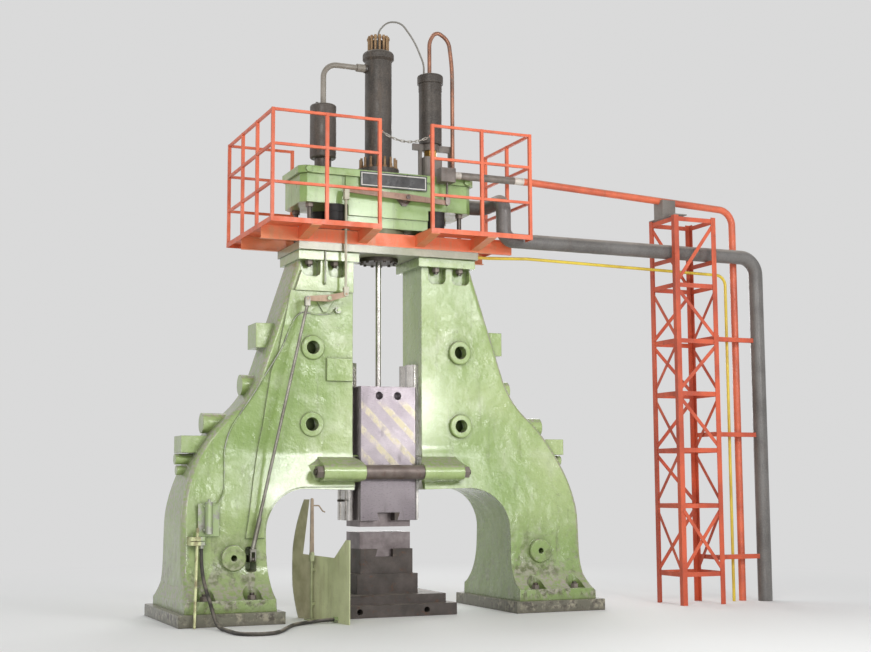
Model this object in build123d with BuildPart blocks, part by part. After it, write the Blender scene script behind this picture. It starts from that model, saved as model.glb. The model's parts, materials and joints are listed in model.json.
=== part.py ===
"""Arch-type hydraulic forging hammer with its platform, pipe tower and pipework.

Units are millimetres. The origin is on the floor, under the ram, midway between
the two columns. X runs to the right along the front, Y to the rear, Z up.
"""
from build123d import *
import math
import os

os.makedirs("parts", exist_ok=True)

# Heights of the frame, from the floor up
sole_height = 116
soffit_z = 1275
column_top = 3600
flange_height = 95
flange_top = column_top + flange_height
slab_height = 80
slab_top = flange_top + slab_height
cylinder_block_height = 205
head_bottom = slab_top + cylinder_block_height
head_height = 520
head_top = head_bottom + head_height
wing_rise = 220
wing_bottom = head_bottom + wing_rise
cover_height = 75
cover_top = head_top + cover_height

# Columns, seen from the front
daylight = 775
column_inner = daylight / 2
column_neck = 968
flange_inner = 334
flange_outer = 987
arch_half = 1330
arch_foot = 1295
arch_radius = 430
arch_flare_z = 650
soffit_fall = 13
hip_x = 1352
hip_z = 2443
shoulder_x = 1640
shoulder_z = 2020
foot_outer = 2165
belly_z = 900
toe_outer = 2190
toe_height = 99

# Columns, seen from the side
neck_depth = 262
flange_depth = 325
knee_depth = 432
knee_z = 600
waist_depth = 400
waist_z = 1050
taper_top_z = 1650
side_bend_r = 600
toe_depth = 690
toe_top = 230
casting_round = 60
wall = 80

# Core holes and their raised rings
ring_r = 124
ring_proud = 42
ring_round = 14
core_hole_r = 68
upper_hole = (820, 2700)
middle_hole = (825, 1922)
lower_hole = (1661, 614)
lower_ring_face = 476
lower_hole_r = 30

# Studs that hold the head down on the columns
stud_r = 24
stud_clear = 1
stud_x = (570, 845)
stud_y = 227
stud_nut_flats = 74
stud_nut_height = 40
pocket_width = 200
pocket_height = 170
pocket_depth = 92
pocket_round = 60
stud_into_wing = 150

# Foot studs and sole plates
foot_stud_x = (1520, 1980)
foot_stud_y = 610
foot_stud_r = 24
foot_nut_flats = 75
foot_nut_height = 42
foot_pocket_r = 88
sole_inner = 1230
sole_outer = 2260
sole_depth = 760

# Tie rods across the front and rear of the columns
tie_y = 450
tie_z = 1440
tie_r = 35
tie_fit = 0.3
tie_lug_inner = 320
tie_lug_outer = 765
tie_lug_bottom = 1322
tie_lug_top = 1615
tie_lug_r = 80
tie_rib_end = 960
tie_rib_half = 55
spacer_r = 73
tie_nut_flats = 112
tie_rib_start = tie_y - tie_nut_flats / 2 - 20
tie_nut_height = 65
tie_thread_end = 20

# Slab and the gland that hangs under it
slab_half = 1000
slab_depth = 375
slab_bore_r = 150
gland_flange_r = 210
gland_flange_height = 40
gland_spigot_r = slab_bore_r - 0.1
bush_r = 55
bush_drop = 20
gland_bolt_circle_r = 182
gland_bolt_count = 12
gland_bolt_r = 10
gland_bolt_head_r = 17
gland_bolt_head_height = 16

# Ram, rod and piston
ram_half = 315
ram_depth = 300
ram_bottom = 950
ram_height = 1370
ram_top = ram_bottom + ram_height
ram_chamfer = 15
rod_r = 30
rod_socket = 250
running_fit = 0.05
piston_r = 90
piston_height = 200
piston_z = slab_top + 125
lift_hole_r = 40
lift_hole_x = 102
lift_hole_z = 2225
lift_hole_depth = 120

# V guides
guide_bottom = 950
guide_top = 2570
guide_face = 345
guide_half_width = 168
guide_groove = 26
guide_groove_y = 84
ridge_y = 86
ridge_base = 62
ridge_tip = 20
ridge_clear = 0.5
guide_bolt_count = 4
guide_bolt_r = 12
guide_bolt_head_r = 18
guide_bolt_head = 14
guide_bolt_grip = 60

# Dies and anvil
die_half = 277
die_depth = 200
die_side_clear = 5
ridge_tip_x = die_half + die_side_clear
upper_die_bottom = 885
die_gap = 55
lower_die_top = upper_die_bottom - die_gap
lower_die_height = 170
lower_die_bottom = lower_die_top - lower_die_height
dovetail_height = 80
dovetail_mouth = 100
dovetail_root = 125
key_width = 32
sow_half = 285
sow_depth = 250
sow_height = 250
sow_bottom = lower_die_bottom - sow_height
anvil_tiers = ((650, 550, 120), (570, 450, 90), (330, 280, 200))
anvil_hole_r = 30
anvil_hole_x = (-400, 320)
anvil_hole_depth = 160

# Cylinder and head
block_r = 280
liner_r = 120
liner_fit = 0.3
bore_r = piston_r + running_fit
head_half = 959
head_core_half = 451
head_depth = 310
head_chamfer = 60
skirt_step = 20
skirt_height = 110
groove_x = 500
groove_width = 36
groove_depth = 12
cover_half = 986
cover_depth = 335
cover_boss_x = 889
cover_boss_r = 34
cover_boss_proud = 23
plate_x = (-329, 424)
plate_z = (head_top - 99, head_top + 62)
plate_thickness = 6
buffer_r = 95
buffer_grooves = 4
buffer_groove_depth = 8

# Gas cylinder over the ram cylinder
gas_r = 145
gas_flange_r = 225
gas_flange_height = 85
gas_top = cover_top + 1280
gas_bore_top = gas_top - 105
gas_cap_r = 170
gas_cap_height = 110
gas_stud_count = 16
gas_stud_circle_r = 192
gas_stud_r = 13
gas_stud_top = cover_top + 205
crown_count = 14
crown_circle_r = 103
crown_stud_r = 14
crown_height = 175
crown_plug_r = 75

# Accumulators each side of it
left_acc_x = -625
left_acc_r = 140
left_acc_neck_r = 90
left_acc_z = (cover_top + 155, cover_top + 740)
right_acc_x = 610
right_acc_r = 125
right_acc_z = (cover_top + 425, cover_top + 1105)
right_flange_r = 142
right_flange_height = 100
manifold_half = 100
manifold_height = 275
brass_r = 75
frame_half_x = (right_acc_x - 210, right_acc_x + 260)
frame_height = 70
leg_x = (right_acc_x - 123, right_acc_x + 230)
leg_size = 34

# Pipes on the head
transfer_r = 30
transfer_bend = 150
transfer_z = gas_top - 83
union_r = 43
union_length = 90
copper_r = 22
copper_wall = 5
gauge_r = 10

# Platform
deck_top = slab_top + 145
deck_skirt = 50
deck_plate = 8
deck_half = 1431
deck_front = 818
deck_rear = 858
well_half = slab_half + 20
well_depth = slab_depth + 22
front_gap_half = 270
pipe_notch = (1120, 655, 425)
rod_notch = (-514, 45, 470)
beam_half = 1400
beam_width = 45
beam_web = 8
arm_x = (-960, -320, 320, 960)
arm_width = 100
arm_wall = 8
rail_size = 27
post_size = 33
post_height = 1087
front_post_x = (290, 851, 1413)
side_post_y = (-800, -255, 292, 840)
rail_heights = (347, 728, 1072)
rear_rail_end = -700
chain_drop = 80
chain_links = 13
chain_wire_r = 5

# Valve linkage in front of the left column
linkage_y = 420
rocker_pivot = (-695, column_top - 407)
rocker_left = (-924, column_top - 420)
rocker_right = (-514, column_top - 356)
lever_thickness = 24
pin_r = 16
pin_boss_r = 34
valve_rod_r = 13
valve_rod_top = head_bottom + 246
fork_wall = 11
fork_slack = 3
side_rod_r = 16
side_rod_foot = (-1486, 640)
side_rod_foot_y = 500
sleeve_r = 23
sleeve_length = 310
crank_pivot_y = 280
crank_z = 600
head_lever_left = (-511, head_bottom + 350)
head_lever_pivot = (168, head_bottom + 323)
head_lever_right = (622, head_bottom + 297)
spool_r = 12
valve_block_x = (535, 702)
valve_block_z = (head_top, head_top + 150)
valve_block_front = 470

# Hand lever and guard
hand_x = -874
hand_y = 460
hand_pivot_z = 640
hand_top = 1170
post_r = 13
guard_thickness = 8
guard_rear = (-955, -80)
guard_corner = (-770, -650)
guard_front = (-715, -1125)
guard_rear_top = 1170
guard_front_top = 790
guard_notch_z = 630
guard_notch_fall = 20
guard_bow = 35

# Pipe tower
tower_x = (3251, 3800)
tower_y = (-728, -209)
tower_height = 4297
angle_size = 60
angle_wall = 6
ring_levels = (330, 1070, 1678, 2302, 2887, 3510, 4255)
ring_width = 50
brace_width = 40
saddle_reach = 170
saddle_plate = 12
saddle_half = 90
arm_levels = (498, 1862, 2940)
arm_bar = 50

# Long pipes
pressure_y = -410
pressure_r = 40
pressure_wall = 6
pressure_bend = 180
return_y = -540
return_r = 80
return_wall = 8
return_z = 3900
return_down_x = 4465
return_bend = 200
return_port = (-50, head_bottom + 350)
drain_r = 17
drain_down_x = 4105
drain_z = slab_top - slab_height / 2

# Lugs on the outer flanks (low, high, reach, root) and bosses (z, radius, reach, root)
flank_lugs = ((2695, 2945, 1378, 1160), (1632, 1800, 2122, 1840))
flank_lug_half = 150
flank_bosses = (
    (2320, 105, 1500, 1330),
    (1930, 102, 1890, 1640),
    (1572, 54, 2150, 1950),
    (1462, 48, 2135, 1950),
)

# Raised front of the left column
panel_proud = 20
panel_top = column_top - 320
panel_step = ((-1053, panel_top), (-1175, 2663), (-1252, 2452), (-1334, 1911), (-1441, 1373), (-1540, 800))
block_proud = 40
pad_proud = 25
pad_x = (397, 674)
pad_z = (2365, 2597)
bolt_fit = 0.3
stud_end = 22
foot_stud_root = 30
recess_back = 215
recess_width = 110
recess_height = 240
crank_shaft_r = 20
crank_bearing = 40

# Heights of the guide bolts
guide_bolt_pitch = (guide_top - guide_bottom) / guide_bolt_count
guide_bolt_z = [guide_bottom + (i + 0.5) * guide_bolt_pitch for i in range(guide_bolt_count)]

# Fittings on the front of the left column, and the hose on the floor
lubricator_x = -1912
lubricator_r = 38
lubricator_z = (862, 1140)
lubricator_cap = 14
lubricator_seat = 3
lubricator_plate = (-2010, -1800)
plate_sheet = 8
plate_gap = 6
seat_gap = 0.3
clamp_x = (-2112, -1952)
clamp_z = (745, 825)
plate_foot_z = clamp_z[1] + seat_gap
clamp_front = 545
pole_r = 14
pole_top = (-2020, 470, 905)
pole_foot = (-2125, 832)
line_r = 6
line_route = (
    (-640, column_top - 552),
    (-800, column_top - 565),
    (-935, column_top - 535),
    (-1010, column_top - 600),
    (-1075, column_top - 740),
    (-1150, column_top - 930),
    (-1290, 2450),
    (-1420, 2230),
    (-1550, 2040),
    (-1668, 1860),
    (-1722, 1660),
    (-1728, 1430),
    (-1745, 1230),
)
line_leaves_panel = -1300
junction = (-560, column_top - 510)
junction_r = 32
junction_depth = 45
feed_r = 9
feed_x = -705
feed_bottom = column_top - 245
hose_r = 17.5
hose_exit = (-1985, 478)
hose_socket_r = 24
hose_socket = 30
hose_route = (
    (-1985, -478, 610),
    (-1982, -507, 510),
    (-1978, -562, 410),
    (-1970, -652, 315),
    (-1962, -757, 225),
    (-1955, -852, 125),
    (-1950, -952, 48),
    (-1946, -1072, 19),
    (-1936, -1222, 18.5),
    (-1930, -1395, 18),
    (-1925, -1541, 18.5),
    (-1876, -1630, 18),
    (-1790, -1686, 18.5),
    (-1689, -1693, 18),
    (-1596, -1651, 18.5),
    (-1505, -1530, 18),
    (-1415, -1360, 18.5),
    (-1325, -1185, 18),
    (-1235, -1035, 18.5),
    (-1115, -930, 19),
    (-985, -882, 24),
    (-870, -879, 33),
)
gland_nut_r = 28
gland_nut = 36
gland_z = 33
gland_y = 865

# Small sizes of the head and the platform
cap_round = 40
port_proud = 15
crown_plug_drop = 55
crown_depth = 60
left_acc_round = 25
valve_stub_r = 14
thread_rings = 3
thread_pitch = 14
right_flange_round = 25
copper_y = -45
copper_reach = 245
copper_rise = 380
copper_crest = 120
gauge_rise = 245
arm_rise = 15
arm_tip = 50

# Small sizes of the linkage, the guard, the tower and the pipes
chain_bow_r = 9
chain_play = 1.5
chain_rest = 1.8
chain_lug_reach = 10
chain_lug_half = 12
chain_end = 955
fork_r = 26
fork_reach = 75
fork_bridge = 24
fork_side_gap = 0.5
eye_r = 24
end_pin_r = 12
hub_proud = 4
collar_gap = 0.5
collar = 10
bracket_plate = 18
bracket_tip = 22
rocker_bracket = (190, 130)
head_bracket = (180, 75)
spool_entry = 80
spool_room = 45
crank_fork_gap = 36
crank_pin_r = 10
crank_slack = 5
crank_hub_r = 32
side_rod_lift = 20
shaft_stub = 40
post_foot = 12
hand_hub_r = 20
hand_tip_r = 13
hook_reach = (70, 110, 135)
hook_drop = (60, 115, 125)
clip_levels = (140, 470)
clip_height = 30
hook_r = 7
hook_bend = 20
guard_strip_x = (-893, -868)
guard_window_x = (-900, -751, -722)
brace_inset = 48
brace_end = 34
pressure_start_z = head_top + 85
pressure_bend_x = 1605
pressure_down_x = 4250
pressure_end_z = head_top - 38
return_riser_x = 1225
return_elbow = 120
drain_y = (-300, -450)
drain_bend_x = slab_half + 150
drain_swing = 400
drain_bend = 120
drain_fall = 45


def front(offset):
    """A plane that faces the front, this far before the centre plane."""
    return Plane.XZ.offset(offset)


def keep(part, label):
    """Name one finished piece and write it."""
    part.label = label
    export_step(part, f"parts/{label}.step")


def hexagon(flats):
    """Corner radius of a hexagon with this width across its flats."""
    return flats / math.sqrt(3)


def tube(route, radius, bore, bends):
    """A round tube along straight runs joined by arcs; bore 0 leaves it solid."""
    with BuildPart() as pipe:
        with BuildLine() as path:
            if bends:
                FilletPolyline(*route, radius=bends)
            else:
                Polyline(*route)
        start = Vector(*route[0])
        heading = Vector(*route[1]) - start
        with BuildSketch(Plane(origin=start, z_dir=heading)):
            Circle(radius)
            if bore:
                Circle(bore, mode=Mode.SUBTRACT)
        sweep(path=path.line)
    return pipe.part


def bar(start, end, width, thickness, facing):
    """A flat bar from start to end, whose broad side faces the given direction."""
    run = Vector(*end) - Vector(*start)
    with BuildPart() as piece:
        with BuildSketch(Plane(origin=Vector(*start), x_dir=Vector(*facing), z_dir=run)):
            Rectangle(thickness, width)
        extrude(amount=run.length)
    return piece.part


def route_radii(points, label):
    """The largest bend radius that each corner's shorter run allows, printed for a look."""
    corners = [Vector(*point) for point in points]
    radii = []
    for before, corner, after in zip(corners, corners[1:], corners[2:]):
        arriving, leaving = corner - before, after - corner
        half_turn = math.radians(arriving.get_angle(leaving)) / 2
        radii.append(0.45 * min(arriving.length, leaving.length) / math.tan(half_turn))
    print(label, "bend radii", [round(radius) for radius in radii])
    return radii


def front_depth(z):
    """How far the column's front lies before the centre plane at height z."""
    if z > waist_z:
        share = min((z - waist_z) / (taper_top_z - waist_z), 1)
        return waist_depth + (neck_depth - waist_depth) * share
    return knee_depth + (waist_depth - knee_depth) * (z - knee_z) / (waist_z - knee_z)


def side_profile(proud):
    """Half of the column's side view, from the sole up, this far proud of it."""
    taper = FilletPolyline(
        (knee_depth + proud, knee_z),
        (waist_depth + proud, waist_z),
        (neck_depth + proud, taper_top_z),
        (neck_depth + proud, column_top),
        radius=side_bend_r,
    )
    TangentArc(taper @ 0, (toe_depth, toe_top), tangent=taper % 0 * -1)
    Polyline(
        (toe_depth, toe_top),
        (toe_depth, sole_height),
        (0, sole_height),
        (0, flange_top),
        (flange_depth, flange_top),
        (flange_depth, column_top),
        (neck_depth + proud, column_top),
    )


# Column casting: the arch outline crossed with the side profile
with BuildPart() as column:
    with BuildSketch(Plane.XZ):
        with BuildLine():
            Polyline((arch_foot, sole_height), (arch_half, arch_flare_z), (arch_half, soffit_z - arch_radius))
            arch = TangentArc(
                (arch_half, soffit_z - arch_radius), (arch_half - arch_radius, soffit_z), tangent=(0, 1)
            )
            Polyline(
                arch @ 1,
                (column_inner, soffit_z - soffit_fall),
                (column_inner, column_top),
                (flange_inner, column_top),
                (flange_inner, flange_top),
                (flange_outer, flange_top),
                (flange_outer, column_top),
                (column_neck, column_top),
            )
            flank = Line((column_neck, column_top), (hip_x, hip_z))
            hollow = TangentArc(flank @ 1, (shoulder_x, shoulder_z), tangent=flank % 1)
            belly = TangentArc(hollow @ 1, (foot_outer, belly_z), tangent=hollow % 1)
            Polyline(
                belly @ 1,
                (foot_outer, toe_top + 2 * casting_round),
                (toe_outer, sole_height + toe_height),
                (toe_outer, sole_height),
                (arch_foot, sole_height),
            )
        make_face()
    extrude(amount=toe_depth, both=True)
    with BuildSketch(Plane.YZ):
        with BuildLine():
            side_profile(0)
        make_face()
        mirror(about=Plane.YZ)
    extrude(amount=toe_outer, mode=Mode.INTERSECT)
    flank_faces = [
        face
        for face in column.faces()
        if face.normal_at().X > 0.3 and abs(face.normal_at().Y) < 0.01
    ]
    rim = [
        edge
        for face in flank_faces
        for edge in face.edges()
        if abs(edge.position_at(0.5).Y) > neck_depth - 1
        and toe_top < edge.position_at(0.5).Z < column_top - 1
    ]
    rim = [edge for edge in rim if edge.position_at(0.5).X > column_neck]
    fillet(ShapeList(rim), radius=casting_round)

    # Hollow core, cast with even walls
    with BuildSketch(Plane.XZ):
        Polygon(
            (column_inner + wall, soffit_z + wall),
            (column_inner + wall, column_top - pocket_height - wall / 2),
            (column_neck - wall / 2, column_top - pocket_height - wall / 2),
            (hip_x - wall, hip_z - wall),
            (shoulder_x - wall, shoulder_z - wall),
            (foot_outer - 4 * wall, taper_top_z),
            (foot_outer - wall, belly_z),
            (foot_outer - wall, knee_z),
            (foot_outer - 2 * wall, toe_top + 2 * wall),
            (arch_half + 2 * wall, toe_top + 2 * wall),
            (arch_half + wall, soffit_z - arch_radius),
            (arch_half - arch_radius / 3, soffit_z + wall / 2),
            (arch_half - arch_radius, soffit_z + wall),
            align=None,
        )
    extrude(amount=neck_depth - wall, both=True, mode=Mode.SUBTRACT)

    # Raised rings round the core holes, front and rear
    for side in (1, -1):
        with BuildSketch(Plane.XZ.offset(side * (neck_depth + ring_proud))):
            with Locations(upper_hole, middle_hole):
                Circle(ring_r)
        extrude(amount=-side * (ring_proud + wall / 2))
        with BuildSketch(Plane.XZ.offset(side * lower_ring_face)):
            with Locations(lower_hole):
                Circle(ring_r)
        extrude(amount=-side * wall)
        ring_faces = (neck_depth + ring_proud, lower_ring_face)
        crests = column.edges().filter_by(GeomType.CIRCLE).filter_by(
            lambda edge: min(abs(edge.position_at(0.5).Y + side * face) for face in ring_faces) < 0.01
        )
        fillet(crests, radius=ring_round)
        with BuildSketch(Plane.XZ.offset(side * (neck_depth + ring_proud))):
            with Locations(upper_hole, middle_hole):
                Circle(core_hole_r)
        extrude(amount=-side * (ring_proud + 1.5 * wall), mode=Mode.SUBTRACT)
        with BuildSketch(Plane.XZ.offset(side * lower_ring_face)):
            with Locations(lower_hole):
                Circle(lower_hole_r)
        extrude(amount=-side * (lower_ring_face - neck_depth + wall + 10), mode=Mode.SUBTRACT)

        # Lug for the tie rod: a round nose with sloping flanks, and a wedge beyond it
        nose = Vector(-side * tie_y, tie_z)
        seat = -side * (neck_depth - wall / 4)
        with BuildSketch(Plane.YZ.offset(tie_lug_inner)):
            with BuildLine():
                Line((seat, tie_lug_bottom), (seat, tie_lug_top))
            with Locations(nose):
                Circle(tie_lug_r)
            make_hull()
        extrude(amount=tie_lug_outer - tie_lug_inner)
        with BuildSketch(Plane.YZ.offset(tie_lug_outer - 1)):
            Polygon(
                (seat, tie_lug_bottom + 1),
                (seat, tie_lug_top - 1),
                (-side * tie_rib_start, tie_z + tie_lug_r),
                (-side * tie_rib_start, tie_z - tie_lug_r),
                align=None,
            )
        with BuildSketch(Plane.YZ.offset(tie_rib_end)):
            with Locations((seat - side * wall / 8, tie_z)):
                Rectangle(wall / 4, 2 * tie_rib_half)
        loft()
        with BuildSketch(Plane.XY.offset(tie_z - 2 * tie_lug_r)):
            Polygon(
                (tie_lug_inner - 1, -side * (neck_depth - wall)),
                (column_inner, -side * (neck_depth - wall)),
                (column_inner, -side * neck_depth),
                (tie_lug_inner, -side * (tie_y - tie_lug_r / 2)),
                (tie_lug_inner - 1, -side * (tie_y - tie_lug_r / 2)),
                align=None,
            )
        extrude(amount=4 * tie_lug_r, mode=Mode.SUBTRACT)
        with BuildSketch(Plane.YZ.offset(tie_lug_inner)):
            with Locations((-side * tie_y, tie_z)):
                Circle(tie_r + tie_fit)
        extrude(amount=tie_lug_outer - tie_lug_inner, mode=Mode.SUBTRACT)

        # Pockets under the flange for the head studs
        with BuildSketch(Plane.XZ.offset(side * (flange_depth + 1))):
            for x in stud_x:
                with Locations((x, column_top - pocket_height / 2)):
                    RectangleRounded(pocket_width, pocket_height, pocket_round)
                with Locations((x, column_top - pocket_round / 2)):
                    Rectangle(pocket_width, pocket_round)
        extrude(
            amount=-side * (flange_depth + 1 - neck_depth + pocket_depth),
            mode=Mode.SUBTRACT,
        )

        # Pockets in the toe for the foot studs
        for x in foot_stud_x:
            with BuildSketch(Plane.XY.offset(toe_top)):
                with Locations((x, -side * foot_stud_y)):
                    Circle(foot_pocket_r)
                with Locations((x, -side * (foot_stud_y + toe_depth) / 2)):
                    Rectangle(2 * foot_pocket_r, toe_depth - foot_stud_y)
            extrude(amount=knee_z - toe_top - casting_round, mode=Mode.SUBTRACT)

    with BuildSketch(Plane.XY.offset(flange_top)):
        for x in stud_x:
            with Locations((x, stud_y), (x, -stud_y)):
                Circle(stud_r + stud_clear)
    extrude(amount=-flange_height, mode=Mode.SUBTRACT)
    with BuildSketch(Plane.XY.offset(sole_height)):
        for x in foot_stud_x:
            with Locations((x, foot_stud_y), (x, -foot_stud_y)):
                Circle(foot_stud_r + stud_clear)
    extrude(amount=toe_top - sole_height, mode=Mode.SUBTRACT)

    # Lugs on the outer flank, used when the casting is machined and lifted
    for low, high, reach, root in flank_lugs:
        with BuildSketch(Plane.XZ):
            with Locations(((reach + root) / 2, (low + high) / 2)):
                Rectangle(reach - root, high - low)
        extrude(amount=flank_lug_half, both=True)
    for z, boss_r, reach, root in flank_bosses:
        with BuildSketch(Plane.YZ.offset(reach)):
            with Locations((0, z)):
                Circle(boss_r)
        extrude(amount=root - reach)

    # Blind holes for the guide bolts
    for z in guide_bolt_z:
        with BuildSketch(Plane.YZ.offset(column_inner)):
            with Locations((0, z)):
                Circle(guide_bolt_r + bolt_fit)
        extrude(amount=guide_bolt_grip, mode=Mode.SUBTRACT)

keep(column.part, "right_column")

# The left column is the mirror casting with a raised front panel
flank_slope = (column_top - hip_z) / (hip_x - column_neck)
with BuildPart() as panel:
    with BuildSketch(Plane.XZ):
        with BuildLine():
            curve = TangentArc(
                (-arch_half - panel_proud, soffit_z - arch_radius),
                (arch_radius - arch_half, soffit_z + panel_proud),
                tangent=(0, 1),
            )
            Polyline(
                curve @ 1,
                (-column_inner, soffit_z + panel_proud),
                (-column_inner, panel_top),
                *panel_step,
                (-arch_half - panel_proud, panel_step[-1][1]),
                curve @ 0,
            )
        make_face()
    extrude(amount=toe_depth)
    with BuildSketch(Plane.YZ.offset(-toe_outer)):
        with BuildLine():
            side_profile(panel_proud)
        make_face()
        mirror(about=Plane.YZ)
    extrude(amount=toe_outer, mode=Mode.INTERSECT)
    with BuildSketch(Plane.XZ):
        Polygon(
            (-column_inner, panel_top),
            (-column_inner, column_top),
            (casting_round - column_neck, column_top),
            (casting_round - column_neck - (column_top - panel_top) / flank_slope, panel_top),
            align=None,
        )
    extrude(amount=neck_depth + block_proud)
    with BuildSketch(Plane.XZ):
        with Locations((-(pad_x[0] + pad_x[1]) / 2, (pad_z[0] + pad_z[1]) / 2)):
            Rectangle(pad_x[1] - pad_x[0], pad_z[1] - pad_z[0])
    extrude(amount=neck_depth + panel_proud + pad_proud)
    with BuildSketch(Plane.XZ):
        with Locations((-upper_hole[0], upper_hole[1]), (-middle_hole[0], middle_hole[1])):
            Circle(core_hole_r)
        for x in stud_x:
            with Locations((-x, column_top - pocket_height / 2)):
                RectangleRounded(pocket_width, pocket_height, pocket_round)
            with Locations((-x, column_top - pocket_round / 2)):
                Rectangle(pocket_width, pocket_round)
    extrude(amount=toe_depth, mode=Mode.SUBTRACT)
    split(bisect_by=Plane.XZ.offset(neck_depth - wall / 4), keep=Keep.TOP)

with BuildPart() as left_column:
    mirror(column.part, about=Plane.YZ)
    add(panel.part)
    # Recess for the lower crank, with the bore of its shaft
    with BuildSketch(Plane.XZ.offset(recess_back)):
        with Locations((side_rod_foot[0], crank_z)):
            RectangleRounded(recess_width, recess_height, recess_width / 4)
    extrude(amount=toe_depth, mode=Mode.SUBTRACT)
    with BuildSketch(Plane.YZ.offset(side_rod_foot[0] - recess_width / 2 - crank_bearing)):
        with Locations((-crank_pivot_y, crank_z)):
            Circle(crank_shaft_r + running_fit)
    extrude(amount=recess_width + crank_bearing + 2 * wall, mode=Mode.SUBTRACT)
keep(left_column.part, "left_column")

# Sole plates under the feet
with BuildPart() as sole_plates:
    for side in (1, -1):
        with BuildSketch(Plane.XY):
            with Locations((side * (sole_inner + sole_outer) / 2, 0)):
                Rectangle(sole_outer - sole_inner, 2 * sole_depth)
        extrude(amount=sole_height)
    with BuildSketch(Plane.XY.offset(sole_height)):
        for x in foot_stud_x:
            for y in (foot_stud_y, -foot_stud_y):
                with Locations((x, y), (-x, y)):
                    Circle(foot_stud_r + stud_clear)
    extrude(amount=foot_stud_root - sole_height, mode=Mode.SUBTRACT)
keep(sole_plates.part, "sole_plates")

# Long studs: the feet on their sole plates, and the head on the columns
with BuildPart() as frame_studs:
    with BuildSketch(Plane.XY.offset(foot_stud_root)):
        for x in foot_stud_x:
            for y in (foot_stud_y, -foot_stud_y):
                with Locations((x, y), (-x, y)):
                    Circle(foot_stud_r)
    extrude(amount=toe_top + foot_nut_height + stud_end - foot_stud_root)
    with BuildSketch(Plane.XY.offset(column_top - stud_nut_height - stud_end)):
        for x in stud_x:
            for y in (stud_y, -stud_y):
                with Locations((x, y), (-x, y)):
                    Circle(stud_r)
    extrude(amount=wing_bottom + stud_into_wing - column_top + stud_nut_height + stud_end)
keep(frame_studs.part, "frame_studs")

# Hexagon nuts of the studs and of the tie rods
nut_seats = (
    (column_top - stud_nut_height, stud_x),
    (slab_top, stud_x[1:]),
    (wing_bottom - stud_nut_height, stud_x[1:]),
)
with BuildPart() as frame_nuts:
    with BuildSketch(Plane.XY.offset(toe_top)):
        for x in foot_stud_x:
            for y in (foot_stud_y, -foot_stud_y):
                with Locations((x, y), (-x, y)):
                    RegularPolygon(hexagon(foot_nut_flats), 6)
                    Circle(foot_stud_r + bolt_fit, mode=Mode.SUBTRACT)
    extrude(amount=foot_nut_height)
    for z, places in nut_seats:
        with BuildSketch(Plane.XY.offset(z)):
            for x in places:
                for y in (stud_y, -stud_y):
                    with Locations((x, y), (-x, y)):
                        RegularPolygon(hexagon(stud_nut_flats), 6)
                        Circle(stud_r + bolt_fit, mode=Mode.SUBTRACT)
        extrude(amount=stud_nut_height)
    for side in (1, -1):
        with BuildSketch(Plane.YZ.offset(side * tie_lug_outer)):
            for y in (tie_y, -tie_y):
                with Locations((y, tie_z)):
                    RegularPolygon(hexagon(tie_nut_flats), 6)
                    Circle(tie_r + tie_fit, mode=Mode.SUBTRACT)
        extrude(amount=side * tie_nut_height)
keep(frame_nuts.part, "frame_nuts")

with BuildPart() as tie_rods:
    with BuildSketch(Plane.YZ):
        with Locations((tie_y, tie_z), (-tie_y, tie_z)):
            Circle(tie_r)
    extrude(amount=tie_lug_outer + tie_nut_height + tie_thread_end, both=True)
    chamfer(tie_rods.edges().filter_by(GeomType.CIRCLE), length=tie_r / 7)
keep(tie_rods.part, "tie_rods")

# Spacer tubes between the lugs, drawn tight by the tie rods
with BuildPart() as spacer_tubes:
    with BuildSketch(Plane.YZ):
        with Locations((tie_y, tie_z), (-tie_y, tie_z)):
            Circle(spacer_r)
            Circle(tie_r + tie_fit, mode=Mode.SUBTRACT)
    extrude(amount=tie_lug_inner, both=True)
    rims = spacer_tubes.edges().filter_by(GeomType.CIRCLE).filter_by(lambda edge: edge.radius > tie_r + 1)
    chamfer(rims, length=spacer_r / 16)
keep(spacer_tubes.part, "spacer_tubes")

# Slab across the two columns
with BuildPart() as bed_slab:
    with BuildSketch(Plane.XY.offset(flange_top)):
        Rectangle(2 * slab_half, 2 * slab_depth)
        Circle(slab_bore_r, mode=Mode.SUBTRACT)
        for x in stud_x:
            for y in (stud_y, -stud_y):
                with Locations((x, y), (-x, y)):
                    Circle(stud_r + stud_clear, mode=Mode.SUBTRACT)
    extrude(amount=slab_height)
    with BuildSketch(Plane.XY.offset(flange_top)):
        with PolarLocations(gland_bolt_circle_r, gland_bolt_count):
            Circle(gland_bolt_r + bolt_fit)
    extrude(amount=gland_flange_height, mode=Mode.SUBTRACT)
keep(bed_slab.part, "bed_slab")

# Gland housing, its bronze bush and the ring of bolts under the slab
gland_bottom = flange_top - gland_flange_height
with BuildPart() as gland_housing:
    with BuildSketch(Plane.XY.offset(gland_bottom)):
        Circle(gland_flange_r)
    extrude(amount=gland_flange_height)
    with BuildSketch(Plane.XY.offset(flange_top)):
        Circle(gland_spigot_r)
    extrude(amount=slab_height)
    with BuildSketch(Plane.XY.offset(gland_bottom)):
        Circle(rod_r + 1)
        with PolarLocations(gland_bolt_circle_r, gland_bolt_count):
            Circle(gland_bolt_r + bolt_fit)
    extrude(amount=gland_flange_height, mode=Mode.SUBTRACT)
    with BuildSketch(Plane.XY.offset(gland_bottom + bush_drop)):
        Circle(bush_r + bolt_fit)
    extrude(amount=slab_top - gland_bottom - bush_drop, mode=Mode.SUBTRACT)
keep(gland_housing.part, "gland_housing")

with BuildPart() as gland_bush:
    with BuildSketch(Plane.XY.offset(gland_bottom + bush_drop)):
        Circle(bush_r)
        Circle(rod_r + running_fit, mode=Mode.SUBTRACT)
    extrude(amount=slab_top - gland_bottom - bush_drop)
keep(gland_bush.part, "gland_bush")


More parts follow.
